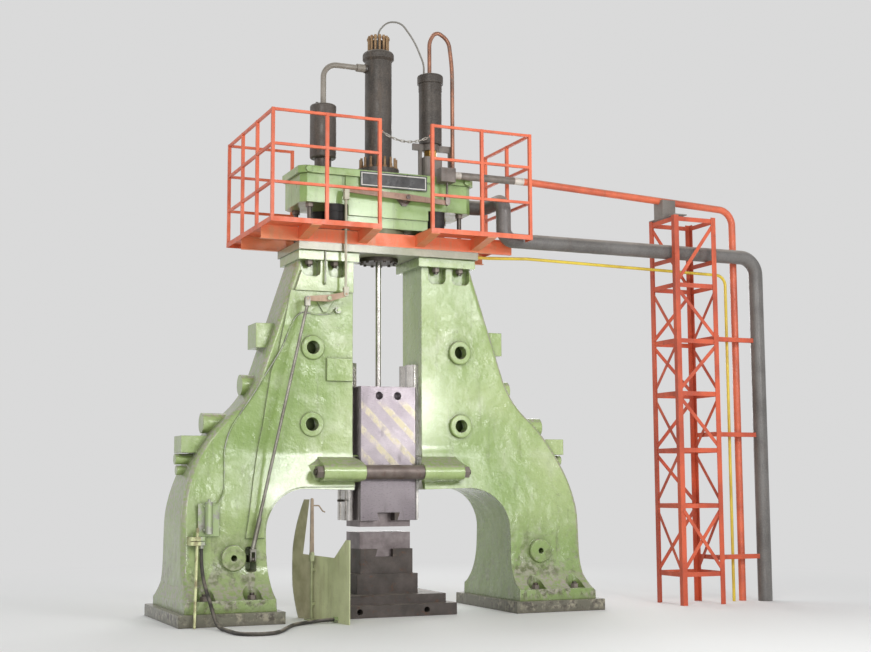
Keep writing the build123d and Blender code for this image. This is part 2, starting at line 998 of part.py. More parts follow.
def ridge(side, y):
    """Cross section of one guide ridge, pointing at the ram."""
    Polygon(
        (side * guide_face, y - ridge_base),
        (side * ridge_tip_x, y - ridge_tip),
        (side * ridge_tip_x, y + ridge_tip),
        (side * guide_face, y + ridge_base),
        align=None,
    )


# V guides bolted to the inner faces of the columns
for side, label in ((-1, "left_guide"), (1, "right_guide")):
    with BuildPart() as guide:
        with BuildSketch(Plane.XY.offset(guide_bottom)):
            with Locations((side * (column_inner + guide_face) / 2, 0)):
                Rectangle(column_inner - guide_face, 2 * guide_half_width)
            ridge(side, ridge_y)
            ridge(side, -ridge_y)
            with Locations((side * column_inner, guide_groove_y), (side * column_inner, -guide_groove_y)):
                Rectangle(guide_groove, 2 * guide_groove, mode=Mode.SUBTRACT)
        extrude(amount=guide_top - guide_bottom)
        with BuildSketch(Plane.YZ.offset(side * column_inner)):
            for z in guide_bolt_z:
                with Locations((0, z)):
                    Circle(guide_bolt_r + bolt_fit)
        extrude(amount=-side * (column_inner - guide_face), mode=Mode.SUBTRACT)
    keep(guide.part, label)

# Bolts of the gland and of the guides
with BuildPart() as frame_bolts:
    with BuildSketch(Plane.XY.offset(gland_bottom - gland_bolt_head_height)):
        with PolarLocations(gland_bolt_circle_r, gland_bolt_count):
            RegularPolygon(gland_bolt_head_r, 6)
    extrude(amount=gland_bolt_head_height)
    with BuildSketch(Plane.XY.offset(gland_bottom)):
        with PolarLocations(gland_bolt_circle_r, gland_bolt_count):
            Circle(gland_bolt_r)
    extrude(amount=2 * gland_flange_height - bolt_fit)
    for side in (1, -1):
        with BuildSketch(Plane.YZ.offset(side * guide_face)):
            for z in guide_bolt_z:
                with Locations((0, z)):
                    RegularPolygon(guide_bolt_head_r, 6)
        extrude(amount=-side * guide_bolt_head)
        with BuildSketch(Plane.YZ.offset(side * guide_face)):
            for z in guide_bolt_z:
                with Locations((0, z)):
                    Circle(guide_bolt_r)
        extrude(amount=side * (column_inner - guide_face + guide_bolt_grip - bolt_fit))
keep(frame_bolts.part, "frame_bolts")


def dovetail(mouth_z, root_z, right):
    """Dovetail seen from the front, from its left side to the right mouth edge."""
    slant = dovetail_root - dovetail_mouth
    Polygon(
        (-dovetail_mouth, mouth_z),
        (-dovetail_root, root_z),
        (right + slant, root_z),
        (right, mouth_z),
        align=None,
    )


def tenon(mouth_z, root_z):
    """Die tenon: the dovetail less the room of the key, with an upright key side."""
    Polygon(
        (-dovetail_mouth, mouth_z),
        (-dovetail_root, root_z),
        (dovetail_mouth - key_width, root_z),
        (dovetail_mouth - key_width, mouth_z),
        align=None,
    )


def slanted_key(mouth_z, root_z):
    """Key that fills the slot between the tenon and its right side."""
    Polygon(
        (dovetail_mouth - key_width, mouth_z),
        (dovetail_mouth - key_width, root_z),
        (dovetail_root, root_z),
        (dovetail_mouth, mouth_z),
        align=None,
    )


# Ram with V grooves, lifting holes, rod socket and dovetail slot
with BuildPart() as ram:
    with BuildSketch(Plane.XY.offset(ram_bottom)):
        body = Rectangle(2 * ram_half, 2 * ram_depth)
        chamfer(body.vertices(), length=ram_chamfer)
    extrude(amount=ram_height)
    with BuildSketch(Plane.XY.offset(ram_bottom)):
        for side in (1, -1):
            ridge(side, ridge_y)
            ridge(side, -ridge_y)
        offset(amount=ridge_clear, kind=Kind.INTERSECTION)
    extrude(amount=ram_height, mode=Mode.SUBTRACT)
    with BuildSketch(Plane.XZ.offset(ram_depth)):
        with Locations((lift_hole_x, lift_hole_z), (-lift_hole_x, lift_hole_z)):
            Circle(lift_hole_r)
    extrude(amount=-lift_hole_depth, mode=Mode.SUBTRACT)
    with BuildSketch(Plane.XY.offset(ram_top)):
        Circle(rod_r + bolt_fit)
    extrude(amount=-rod_socket, mode=Mode.SUBTRACT)
    with BuildSketch(Plane.XZ):
        dovetail(ram_bottom, ram_bottom + dovetail_height, dovetail_mouth)
    extrude(amount=ram_depth, both=True, mode=Mode.SUBTRACT)
keep(ram.part, "ram")

with BuildPart() as piston_rod:
    with BuildSketch(Plane.XY.offset(ram_top - rod_socket)):
        Circle(rod_r)
    extrude(amount=piston_z + piston_height - ram_top + rod_socket)
keep(piston_rod.part, "piston_rod")

# Piston with two ring grooves
with BuildPart() as piston:
    with BuildSketch(Plane.XZ):
        with Locations((0, piston_z)):
            Rectangle(piston_r, piston_height, align=(Align.MIN, Align.MIN))
            Rectangle(rod_r + bolt_fit, piston_height, align=(Align.MIN, Align.MIN), mode=Mode.SUBTRACT)
        for share in (0.3, 0.7):
            with Locations((piston_r, piston_z + share * piston_height)):
                Rectangle(
                    piston_r / 9,
                    piston_height / 14,
                    align=(Align.MAX, Align.CENTER),
                    mode=Mode.SUBTRACT,
                )
    revolve(axis=Axis.Z)
keep(piston.part, "piston")

# Dies: the upper one keyed into the ram, the lower one into the sow block
with BuildPart() as upper_die:
    with BuildSketch(Plane.XY.offset(upper_die_bottom)):
        Rectangle(2 * die_half, 2 * die_depth)
    extrude(amount=ram_bottom - upper_die_bottom)
    with BuildSketch(Plane.XZ):
        tenon(ram_bottom, ram_bottom + dovetail_height)
    extrude(amount=die_depth, both=True)
keep(upper_die.part, "upper_die")

with BuildPart() as upper_die_key:
    with BuildSketch(Plane.XZ):
        slanted_key(ram_bottom, ram_bottom + dovetail_height)
    extrude(amount=ram_depth, both=True)
keep(upper_die_key.part, "upper_die_key")

# Lower die with its tenon, turned over, in the slot of the sow block
with BuildPart() as lower_die:
    with BuildSketch(Plane.XY.offset(lower_die_bottom)):
        Rectangle(2 * die_half, 2 * die_depth)
    extrude(amount=lower_die_height)
    with BuildSketch(Plane.XZ):
        tenon(lower_die_bottom, lower_die_bottom - dovetail_height)
    extrude(amount=die_depth, both=True)
keep(lower_die.part, "lower_die")

with BuildPart() as sow_block:
    with BuildSketch(Plane.XY.offset(sow_bottom)):
        Rectangle(2 * sow_half, 2 * sow_depth)
    extrude(amount=sow_height)
    with BuildSketch(Plane.XZ):
        dovetail(lower_die_bottom, lower_die_bottom - dovetail_height, dovetail_mouth)
    extrude(amount=sow_depth, both=True, mode=Mode.SUBTRACT)
keep(sow_block.part, "sow_block")

with BuildPart() as lower_die_key:
    with BuildSketch(Plane.XZ):
        slanted_key(lower_die_bottom, lower_die_bottom - dovetail_height)
    extrude(amount=sow_depth, both=True)
keep(lower_die_key.part, "lower_die_key")

# Anvil: one stepped casting with carrying holes in its front
with BuildPart() as anvil:
    level = 0
    for half, depth, rise in anvil_tiers:
        with BuildSketch(Plane.XY.offset(level)):
            Rectangle(2 * half, 2 * depth)
        extrude(amount=rise)
        level += rise
    with BuildSketch(Plane.XZ.offset(anvil_tiers[0][1])):
        for x in anvil_hole_x:
            with Locations((x, anvil_tiers[0][2] / 2)):
                Circle(anvil_hole_r)
    extrude(amount=-anvil_hole_depth, mode=Mode.SUBTRACT)
keep(anvil.part, "anvil")

# Cylinder block on the slab and the liner that runs up through the head
with BuildPart() as cylinder_block:
    with BuildSketch(Plane.XY.offset(slab_top)):
        Circle(block_r)
        Circle(liner_r + liner_fit, mode=Mode.SUBTRACT)
    extrude(amount=cylinder_block_height)
keep(cylinder_block.part, "cylinder_block")

with BuildPart() as cylinder_liner:
    with BuildSketch(Plane.XY.offset(slab_top)):
        Circle(liner_r)
        Circle(bore_r, mode=Mode.SUBTRACT)
    extrude(amount=cover_top - slab_top)
keep(cylinder_liner.part, "cylinder_liner")

# Head body: two wings on a deeper middle, with a stepped skirt
with BuildPart() as head_body:
    with BuildSketch(Plane.XY.offset(wing_bottom)):
        plan = Rectangle(2 * head_half, 2 * head_depth)
        chamfer(plan.vertices(), length=head_chamfer)
        for x in (-groove_x, groove_x):
            for y in (-head_depth, head_depth):
                with Locations((x, y)):
                    Rectangle(groove_width, 2 * groove_depth, mode=Mode.SUBTRACT)
    extrude(amount=head_top - wing_bottom)
    with BuildSketch(Plane.XY.offset(head_bottom)):
        Rectangle(2 * head_core_half, 2 * (head_depth - skirt_step))
    extrude(amount=wing_rise)
    with BuildSketch(Plane.XY.offset(head_bottom + skirt_height)):
        Rectangle(2 * head_core_half, 2 * head_depth)
    extrude(amount=wing_rise - skirt_height)
    with BuildSketch(Plane.XY.offset(head_bottom)):
        Circle(liner_r + liner_fit)
    extrude(amount=head_height, mode=Mode.SUBTRACT)
    with BuildSketch(Plane.XY.offset(wing_bottom)):
        for x in stud_x:
            for y in (stud_y, -stud_y):
                with Locations((x, y), (-x, y)):
                    Circle(stud_r + bolt_fit)
    extrude(amount=stud_into_wing, mode=Mode.SUBTRACT)
keep(head_body.part, "head_body")

with BuildPart() as head_cover:
    with BuildSketch(Plane.XY.offset(head_top)):
        lid = Rectangle(2 * cover_half, 2 * cover_depth)
        chamfer(lid.vertices(), length=head_chamfer)
        Circle(liner_r + liner_fit, mode=Mode.SUBTRACT)
    extrude(amount=cover_height)
    for side in (1, -1):
        with BuildSketch(Plane.XZ.offset(side * (cover_depth + cover_boss_proud))):
            with Locations(
                (cover_boss_x, head_top + cover_height / 2),
                (-cover_boss_x, head_top + cover_height / 2),
            ):
                Circle(cover_boss_r)
        extrude(amount=-side * (cover_boss_proud + head_chamfer / 2))
    with BuildSketch(Plane.XY.offset(cover_top)):
        with PolarLocations(gas_stud_circle_r, gas_stud_count):
            Circle(gas_stud_r + bolt_fit)
    extrude(amount=-cover_height / 2, mode=Mode.SUBTRACT)
keep(head_cover.part, "head_cover")

with BuildPart() as nameplate:
    with BuildSketch(Plane.XZ.offset(cover_depth)):
        with Locations(((plate_x[0] + plate_x[1]) / 2, (plate_z[0] + plate_z[1]) / 2)):
            Rectangle(plate_x[1] - plate_x[0], plate_z[1] - plate_z[0])
    extrude(amount=plate_thickness)
keep(nameplate.part, "nameplate")

# Ribbed rubber buffers round the inner studs, between slab and wings
buffer_height = wing_bottom - slab_top
buffer_pitch = buffer_height / (buffer_grooves + 1)
with BuildPart() as buffers:
    for x in (stud_x[0], -stud_x[0]):
        for y in (stud_y, -stud_y):
            with BuildSketch(Plane.XY.offset(slab_top)):
                with Locations((x, y)):
                    Circle(buffer_r)
                    Circle(stud_r + stud_clear / 2, mode=Mode.SUBTRACT)
            extrude(amount=buffer_height)
            for level in range(1, buffer_grooves + 1):
                with BuildSketch(Plane.XY.offset(slab_top + level * buffer_pitch)):
                    with Locations((x, y)):
                        Circle(buffer_r + 1)
                        Circle(buffer_r - buffer_groove_depth, mode=Mode.SUBTRACT)
                extrude(amount=buffer_groove_depth, mode=Mode.SUBTRACT)
keep(buffers.part, "buffers")

# Gas cylinder: base flange, tube, side port and domed cap in one forging
with BuildPart() as gas_cylinder:
    with BuildSketch(Plane.XZ):
        with BuildLine():
            Polyline(
                (bore_r, cover_top),
                (gas_flange_r, cover_top),
                (gas_flange_r, cover_top + gas_flange_height),
                (gas_r, cover_top + gas_flange_height),
                (gas_r, gas_top),
                (gas_cap_r, gas_top + gas_cap_r - gas_r),
            )
            shoulder = Line(
                (gas_cap_r, gas_top + gas_cap_r - gas_r), (gas_cap_r, gas_top + gas_cap_height - cap_round)
            )
            TangentArc(shoulder @ 1, (gas_cap_r - cap_round, gas_top + gas_cap_height), tangent=(0, 1))
            Polyline(
                (gas_cap_r - cap_round, gas_top + gas_cap_height),
                (crown_plug_r, gas_top + gas_cap_height),
                (crown_plug_r, gas_top + gas_cap_height + crown_height - crown_plug_drop),
                (0, gas_top + gas_cap_height + crown_height - crown_plug_drop),
                (0, gas_bore_top),
                (bore_r, gas_bore_top),
                (bore_r, cover_top),
            )
        make_face()
    revolve(axis=Axis.Z)
    with BuildSketch(Plane.YZ.offset(-gas_r - port_proud)):
        with Locations((0, transfer_z)):
            Circle(union_r + 7)
    extrude(amount=port_proud + (gas_r - bore_r) / 2)
    with BuildSketch(Plane.XY.offset(cover_top)):
        with PolarLocations(gas_stud_circle_r, gas_stud_count):
            Circle(gas_stud_r + bolt_fit)
    extrude(amount=gas_flange_height, mode=Mode.SUBTRACT)
    with BuildSketch(Plane.XY.offset(gas_top + gas_cap_height)):
        with PolarLocations(crown_circle_r, crown_count):
            Circle(crown_stud_r + bolt_fit)
    extrude(amount=-crown_depth, mode=Mode.SUBTRACT)
keep(gas_cylinder.part, "gas_cylinder")

# Studs of the base flange and the crown of studs in the cap
with BuildPart() as gas_cylinder_studs:
    with BuildSketch(Plane.XY.offset(cover_top - cover_height / 2)):
        with PolarLocations(gas_stud_circle_r, gas_stud_count):
            Circle(gas_stud_r)
    extrude(amount=gas_stud_top - cover_top + cover_height / 2)
    with BuildSketch(Plane.XY.offset(cover_top + gas_flange_height)):
        with PolarLocations(gas_stud_circle_r, gas_stud_count):
            RegularPolygon(1.8 * gas_stud_r, 6)
    extrude(amount=2 * gas_stud_r)
    with BuildSketch(Plane.XY.offset(gas_top + gas_cap_height - crown_depth)):
        with PolarLocations(crown_circle_r, crown_count):
            Circle(crown_stud_r)
    extrude(amount=crown_depth + crown_height)
    with BuildSketch(Plane.XY.offset(gas_top + gas_cap_height + crown_height - 3 * crown_stud_r)):
        with PolarLocations(crown_circle_r, crown_count):
            RegularPolygon(1.5 * crown_stud_r, 6)
    extrude(amount=2 * crown_stud_r)
keep(gas_cylinder_studs.part, "gas_cylinder_studs")

# Left accumulator on its neck
with BuildPart() as left_accumulator:
    with BuildSketch(Plane.XY.offset(cover_top)):
        with Locations((left_acc_x, 0)):
            Circle(left_acc_neck_r)
    extrude(amount=left_acc_z[0] - cover_top)
    with BuildSketch(Plane.XY.offset(left_acc_z[0])):
        with Locations((left_acc_x, 0)):
            Circle(left_acc_r)
    extrude(amount=left_acc_z[1] - left_acc_z[0])
    rims = left_accumulator.edges().filter_by(GeomType.CIRCLE).filter_by(
        lambda edge: edge.radius > left_acc_r - 1
    )
    fillet(rims, radius=left_acc_round)
    with BuildSketch(Plane.XY.offset(left_acc_z[1])):
        with Locations((left_acc_x - left_acc_r / 2, 0)):
            Circle(valve_stub_r)
    extrude(amount=2 * valve_stub_r)
keep(left_accumulator.part, "left_accumulator")

# Right accumulator, from its brass fitting up to the flanged cap
with BuildPart() as right_accumulator:
    with BuildSketch(Plane.XZ):
        with Locations((right_acc_x, right_acc_z[0])):
            Rectangle(right_acc_r, right_acc_z[1] - right_acc_z[0], align=(Align.MIN, Align.MIN))
        with Locations((right_acc_x, right_acc_z[1])):
            Rectangle(right_flange_r, right_flange_height, align=(Align.MIN, Align.MIN))
        for ring in range(thread_rings):
            with Locations((right_acc_x + right_acc_r, right_acc_z[1] - (2 * ring + 2) * thread_pitch)):
                Rectangle(thread_pitch / 2, thread_pitch, align=(Align.CENTER, Align.MIN))
    revolve(axis=Axis((right_acc_x, 0, 0), (0, 0, 1)))
    top_rim = right_accumulator.edges().group_by(Axis.Z)[-1]
    fillet(top_rim, radius=right_flange_round)
keep(right_accumulator.part, "right_accumulator")

manifold_top = cover_top + manifold_height
with BuildPart() as manifold:
    with BuildSketch(Plane.XY.offset(cover_top)):
        with Locations((right_acc_x, 0)):
            block = Rectangle(2 * manifold_half, 2 * manifold_half)
            chamfer(block.vertices(), length=manifold_half / 8)
    extrude(amount=manifold_height)
keep(manifold.part, "manifold")

with BuildPart() as brass_fitting:
    with BuildSketch(Plane.XY.offset(manifold_top)):
        with Locations((right_acc_x, 0)):
            RegularPolygon(brass_r, 6)
    extrude(amount=right_acc_z[0] - frame_height - manifold_top)
    with BuildSketch(Plane.XY.offset(right_acc_z[0] - frame_height)):
        with Locations((right_acc_x, 0)):
            Circle(0.8 * brass_r)
    extrude(amount=frame_height)
keep(brass_fitting.part, "brass_fitting")

# Frame on two legs that steadies the right accumulator
with BuildPart() as clamp_frame:
    with BuildSketch(Plane.XY.offset(right_acc_z[0] - frame_height)):
        with Locations(((frame_half_x[0] + frame_half_x[1]) / 2, 0)):
            Rectangle(frame_half_x[1] - frame_half_x[0], leg_size)
        with Locations((right_acc_x, 0)):
            Circle(1.2 * brass_r)
            Circle(0.8 * brass_r + bolt_fit, mode=Mode.SUBTRACT)
    extrude(amount=frame_height)
    with BuildSketch(Plane.XY.offset(cover_top)):
        with Locations((leg_x[0], 0), (leg_x[1], 0)):
            Rectangle(leg_size, leg_size)
    extrude(amount=right_acc_z[0] - frame_height - cover_top)
keep(clamp_frame.part, "clamp_frame")

# Rigid pipes on the head
transfer_end = -gas_r - port_proud
transfer_pipe = tube(
    [
        (left_acc_x, 0, left_acc_z[1]),
        (left_acc_x, 0, transfer_z),
        (transfer_end - union_length, 0, transfer_z),
    ],
    transfer_r,
    0.8 * transfer_r,
    transfer_bend,
)
union = tube(
    [(transfer_end - union_length, 0, transfer_z), (transfer_end, 0, transfer_z)],
    union_r,
    0.8 * transfer_r,
    0,
)
keep(transfer_pipe + union, "transfer_pipe")

right_cap_top = right_acc_z[1] + right_flange_height
copper_start_x = right_acc_x - 27
copper_end_x = right_acc_x + copper_reach
copper_route = [
    (copper_start_x, copper_y, right_cap_top),
    (copper_start_x, copper_y, right_cap_top + copper_rise),
    (copper_start_x + copper_reach / 3, copper_y, right_cap_top + copper_rise + copper_crest),
    (copper_end_x - copper_reach / 6, copper_y, right_cap_top + copper_rise + copper_crest / 4),
    (copper_end_x, copper_y, right_cap_top + copper_rise / 4),
    (copper_end_x, copper_y, cover_top),
]
copper_radii = route_radii(copper_route, "copper pipe")
keep(tube(copper_route, copper_r, copper_r - copper_wall, copper_radii), "copper_pipe")

crown_top = gas_top + gas_cap_height + crown_height - crown_plug_drop
gauge_end_x = right_acc_x - 75
gauge_route = [
    (0, 0, crown_top),
    (0, 0, crown_top + gauge_rise / 2),
    (gauge_end_x / 5, 0, crown_top + gauge_rise),
    (gauge_end_x / 2, 0, crown_top + gauge_rise + gauge_r),
    (gauge_end_x * 0.8, 0, crown_top + gauge_rise / 4),
    (gauge_end_x, 0, right_cap_top + gauge_rise / 2),
    (gauge_end_x, 0, right_cap_top),
]
keep(tube(gauge_route, gauge_r, 0, route_radii(gauge_route, "gauge pipe")), "gauge_pipe")

# Platform deck: a plate with a skirt, a well for the head and three notches
deck_under = deck_top - deck_plate
deck_middle = (deck_rear - deck_front) / 2
deck_length = deck_rear + deck_front
with BuildPart() as deck:
    with BuildSketch(Plane.XY.offset(deck_top - deck_skirt)):
        with Locations((0, deck_middle)):
            Rectangle(2 * deck_half, deck_length)
            Rectangle(2 * (deck_half - deck_plate), deck_length - 2 * deck_plate, mode=Mode.SUBTRACT)
    extrude(amount=deck_skirt)
    with BuildSketch(Plane.XY.offset(deck_under)):
        with Locations((0, deck_middle)):
            Rectangle(2 * deck_half, deck_length)
    extrude(amount=deck_plate)
    with BuildSketch(Plane.XY.offset(deck_top)):
        Rectangle(2 * well_half, 2 * well_depth)
        with Locations((0, -(deck_front + well_depth) / 2)):
            Rectangle(2 * front_gap_half, deck_front)
        with Locations(((pipe_notch[0] + deck_half) / 2 + 1, -(pipe_notch[1] + pipe_notch[2]) / 2)):
            Rectangle(deck_half - pipe_notch[0] + 2, pipe_notch[1] - pipe_notch[2])
        with Locations((rod_notch[0], -well_depth)):
            Rectangle(2 * rod_notch[1], 2 * (rod_notch[2] - well_depth))
    extrude(amount=-deck_skirt, mode=Mode.SUBTRACT)
keep(deck.part, "deck")

# Channel beams on the slab and the cantilever arms that carry the deck
beam_pieces = []
for side in (1, -1):
    with BuildPart() as beam:
        with BuildSketch(Plane.YZ):
            with Locations((side * (slab_depth - beam_width / 2), (slab_top + deck_under) / 2)):
                Rectangle(beam_width, deck_under - slab_top)
            with Locations((side * (slab_depth - beam_web - beam_width / 2), (slab_top + deck_under) / 2)):
                Rectangle(beam_width, deck_under - slab_top - 2 * beam_web, mode=Mode.SUBTRACT)
        extrude(amount=beam_half, both=True)
    beam_pieces.append(beam.part)
    edge = deck_rear if side > 0 else deck_front
    for x in arm_x:
        with BuildPart() as arm:
            with BuildSketch(Plane.YZ.offset(x - arm_width / 2)):
                Polygon(
                    (side * slab_depth, slab_top + arm_rise),
                    (side * slab_depth, deck_under),
                    (side * (edge - deck_plate), deck_under),
                    (side * (edge - deck_plate), deck_under - arm_tip),
                    align=None,
                )
            extrude(amount=arm_width)
            with BuildSketch(Plane.YZ.offset(x - arm_width / 2 + arm_wall)):
                Polygon(
                    (side * slab_depth, slab_top + arm_rise + arm_wall),
                    (side * slab_depth, deck_under),
                    (side * (edge - deck_plate), deck_under),
                    (side * (edge - deck_plate), deck_under - arm_tip + arm_wall),
                    align=None,
                )
            extrude(amount=arm_width - 2 * arm_wall, mode=Mode.SUBTRACT)
        beam_pieces.append(arm.part)
keep(Compound(children=beam_pieces), "deck_frame")


def post(x, y):
    """A railing post standing on the deck."""
    with BuildPart() as upright:
        with BuildSketch(Plane.XY.offset(deck_top)):
            with Locations((x, y)):
                Rectangle(post_size, post_size)
        extrude(amount=post_height)
    return upright.part


def rails(start, end):
    """The rails between two neighbouring posts, clear to their faces."""
    pieces = []
    run = Vector(end[0] - start[0], end[1] - start[1], 0)
    trim = run.normalized() * (post_size / 2)
    for rise in rail_heights:
        first = Vector(start[0], start[1], deck_top + rise) + trim
        last = Vector(end[0], end[1], deck_top + rise) - trim
        pieces.append(bar(first, last, rail_size, rail_size, (0, 0, 1)))
    return pieces


# Railings: the front has a gap for lifting, the rear right is open
inner_x, middle_x, corner_x = front_post_x
front_y, near_y, far_y, rear_y = side_post_y
left_run = [(-inner_x, front_y), (-middle_x, front_y), (-corner_x, front_y), (-corner_x, near_y)]
left_run += [(-corner_x, far_y), (-corner_x, rear_y), (rear_rail_end, rear_y)]
right_run = [(inner_x, front_y), (middle_x, front_y), (corner_x, front_y)]
right_run += [(corner_x, near_y), (corner_x, far_y)]
railing_pieces = []
for run in (left_run, right_run):
    railing_pieces += [post(x, y) for x, y in run]
    for start, end in zip(run, run[1:]):
        railing_pieces += rails(start, end)

# The safety chain hangs across the gap in the front railing, from a lug on each post
post_face = inner_x - post_size / 2
chain_half = post_face - chain_lug_reach


def chain_point(share):
    """Point on the hanging chain, from 0 at the left lug to 1 at the right one."""
    x = chain_half * (2 * share - 1)
    return Vector(x, front_y, deck_top + chain_end - chain_drop * (1 - (x / chain_half) ** 2))


def chain_link(start, end, flat):
    """One oval link between two points of the chain; flat turns it a quarter round."""
    middle = (start + end) / 2
    heading = (end - start).normalized()
    across = Vector(0, 1, 0) if flat else heading.cross(Vector(0, 1, 0))
    half = (end - start).length / 2 + chain_wire_r - chain_bow_r
    pieces = []
    for side in (1, -1):
        nose = middle + heading * (side * half)
        with BuildPart() as bow:
            with BuildSketch(Plane(origin=nose, x_dir=across, z_dir=heading)):
                with Locations((chain_bow_r, 0)):
                    RegularPolygon(chain_wire_r, 6)
            revolve(axis=Axis(nose, across.cross(heading) * side), revolution_arc=180)
        with BuildPart() as shank:
            with BuildSketch(Plane(origin=middle - heading * half, x_dir=across, z_dir=heading)):
                with Locations((side * chain_bow_r, 0)):
                    RegularPolygon(chain_wire_r, 6)
            extrude(amount=2 * half)
        pieces += [bow.part, shank.part]
    return pieces[0] + pieces[1:]


links = []
for index in range(chain_links):
    start, end = (chain_point((index + step) / chain_links) for step in (0, 1))
    links.append(chain_link(start, end, index % 2 == 0))
keep(Compound(children=links), "safety_chain")

pull = (chain_point(1 / chain_links) - chain_point(0)).normalized()
eye = chain_point(0) - pull * (chain_wire_r + chain_play - chain_rest)
for side in (1, -1):
    with BuildPart() as chain_lug:
        with BuildSketch(Plane.XZ.offset(-front_y)):
            with Locations((side * (post_face + abs(eye.X) - chain_lug_half) / 2, eye.Z)):
                Rectangle(post_face - abs(eye.X) + chain_lug_half, 2 * chain_lug_half)
            with Locations((side * abs(eye.X), eye.Z)):
                Circle(chain_wire_r + chain_play, mode=Mode.SUBTRACT)
        extrude(amount=chain_bow_r / 3, both=True)
    railing_pieces.append(chain_lug.part)
keep(Compound(children=railing_pieces), "railing")


def clevis(center, stem_z, gap, hole):
    """A fork round a cross pin at center, with its bridge at stem_z."""
    x, z = center
    toward = 1 if stem_z > z else -1
    with BuildPart() as fork:
        with BuildSketch(front(linkage_y)):
            with Locations((x, z)):
                Circle(fork_r)
            with Locations((x, (z + stem_z) / 2)):
                Rectangle(2 * fork_r, abs(stem_z - z))
        extrude(amount=gap / 2 + fork_wall, both=True)
        with BuildSketch(front(linkage_y)):
            low = z - toward * 2 * fork_r
            high = stem_z - toward * fork_bridge
            with Locations((x, (low + high) / 2)):
                Rectangle(2 * fork_r + 2, abs(high - low))
        extrude(amount=gap / 2, both=True, mode=Mode.SUBTRACT)
        with BuildSketch(front(linkage_y)):
            with Locations(center):
                Circle(hole)
        extrude(amount=gap / 2 + fork_wall, both=True, mode=Mode.SUBTRACT)
    return fork.part


def cross_pin(center, radius, half_length):
    """A round pin along Y, centred on the linkage plane."""
    with BuildPart() as pin:
        with BuildSketch(front(linkage_y)):
            with Locations(center):
                Circle(radius)
        extrude(amount=half_length, both=True)
    return pin.part


def lever(pivot, ends, eyes, hub):
    """A flat lever: tapered webs from the pivot boss to the end eyes, with their holes."""
    with BuildPart() as blade:
        for end in ends:
            with BuildSketch(front(linkage_y)):
                with Locations(pivot):
                    Circle(hub)
                with Locations(end):
                    Circle(eye_r)
                make_hull()
            extrude(amount=lever_thickness / 2, both=True)
        with BuildSketch(front(linkage_y)):
            with Locations(pivot):
                Circle(hub)
        extrude(amount=lever_thickness / 2 + hub_proud, both=True)
        with BuildSketch(front(linkage_y)):
            with Locations(pivot):
                Circle(pin_r + running_fit)
            for end, eye in zip(ends, eyes):
                with Locations(end):
                    Circle(eye)
        extrude(amount=lever_thickness, both=True, mode=Mode.SUBTRACT)
    return blade.part


# Rocker lever on the left column, with the two pins pressed into its eyes
pin_half = lever_thickness / 2 + fork_side_gap + fork_wall
rocker = lever(rocker_pivot, [rocker_left, rocker_right], [end_pin_r] * 2, pin_boss_r)
rocker_pins = [cross_pin(end, end_pin_r, pin_half) for end in (rocker_left, rocker_right)]
keep(Compound(children=[rocker, *rocker_pins]), "rocker_lever")

# Valve rod: a fork on the rocker, the long rod and the slack fork at the head lever
fork_inner = lever_thickness + 2 * fork_side_gap
with BuildPart() as valve_rod:
    add(clevis(rocker_right, rocker_right[1] + fork_reach, fork_inner, end_pin_r + running_fit))
    add(clevis(head_lever_left, valve_rod_top, fork_inner, end_pin_r))
    with BuildSketch(Plane.XY.offset(rocker_right[1] + fork_reach - fork_bridge)):
        with Locations((rocker_right[0], -linkage_y)):
            Circle(valve_rod_r)
    extrude(amount=valve_rod_top + fork_bridge - rocker_right[1] - fork_reach + fork_bridge)
top_pin = cross_pin(head_lever_left, end_pin_r, pin_half)
keep(Compound(children=[valve_rod.part, top_pin]), "valve_rod")

# Head lever with slotted eyes, and the spool rod with its fork
head_lever = lever(
    head_lever_pivot,
    [head_lever_left, head_lever_right],
    [end_pin_r + fork_slack] * 2,
    pin_boss_r,
)
keep(head_lever, "head_lever")

spool_end = head_lever_right[1] + fork_reach
with BuildPart() as spool_rod:
    add(clevis(head_lever_right, spool_end, fork_inner, end_pin_r))
    with BuildSketch(Plane.XY.offset(spool_end - fork_bridge)):
        with Locations((head_lever_right[0], -linkage_y)):
            Circle(spool_r)
    extrude(amount=valve_block_z[0] + spool_entry - spool_end + fork_bridge)
spool_pin = cross_pin(head_lever_right, end_pin_r, pin_half)
keep(Compound(children=[spool_rod.part, spool_pin]), "spool_rod")

with BuildPart() as valve_block:
    with BuildSketch(Plane.XY.offset(valve_block_z[0])):
        with Locations(((valve_block_x[0] + valve_block_x[1]) / 2, -(cover_depth + valve_block_front) / 2)):
            Rectangle(valve_block_x[1] - valve_block_x[0], valve_block_front - cover_depth)
    extrude(amount=valve_block_z[1] - valve_block_z[0])
    with BuildSketch(Plane.XY.offset(valve_block_z[0])):
        with Locations((head_lever_right[0], -linkage_y)):
            Circle(spool_r + running_fit)
    extrude(amount=spool_entry + spool_room, mode=Mode.SUBTRACT)
keep(valve_block.part, "valve_block")


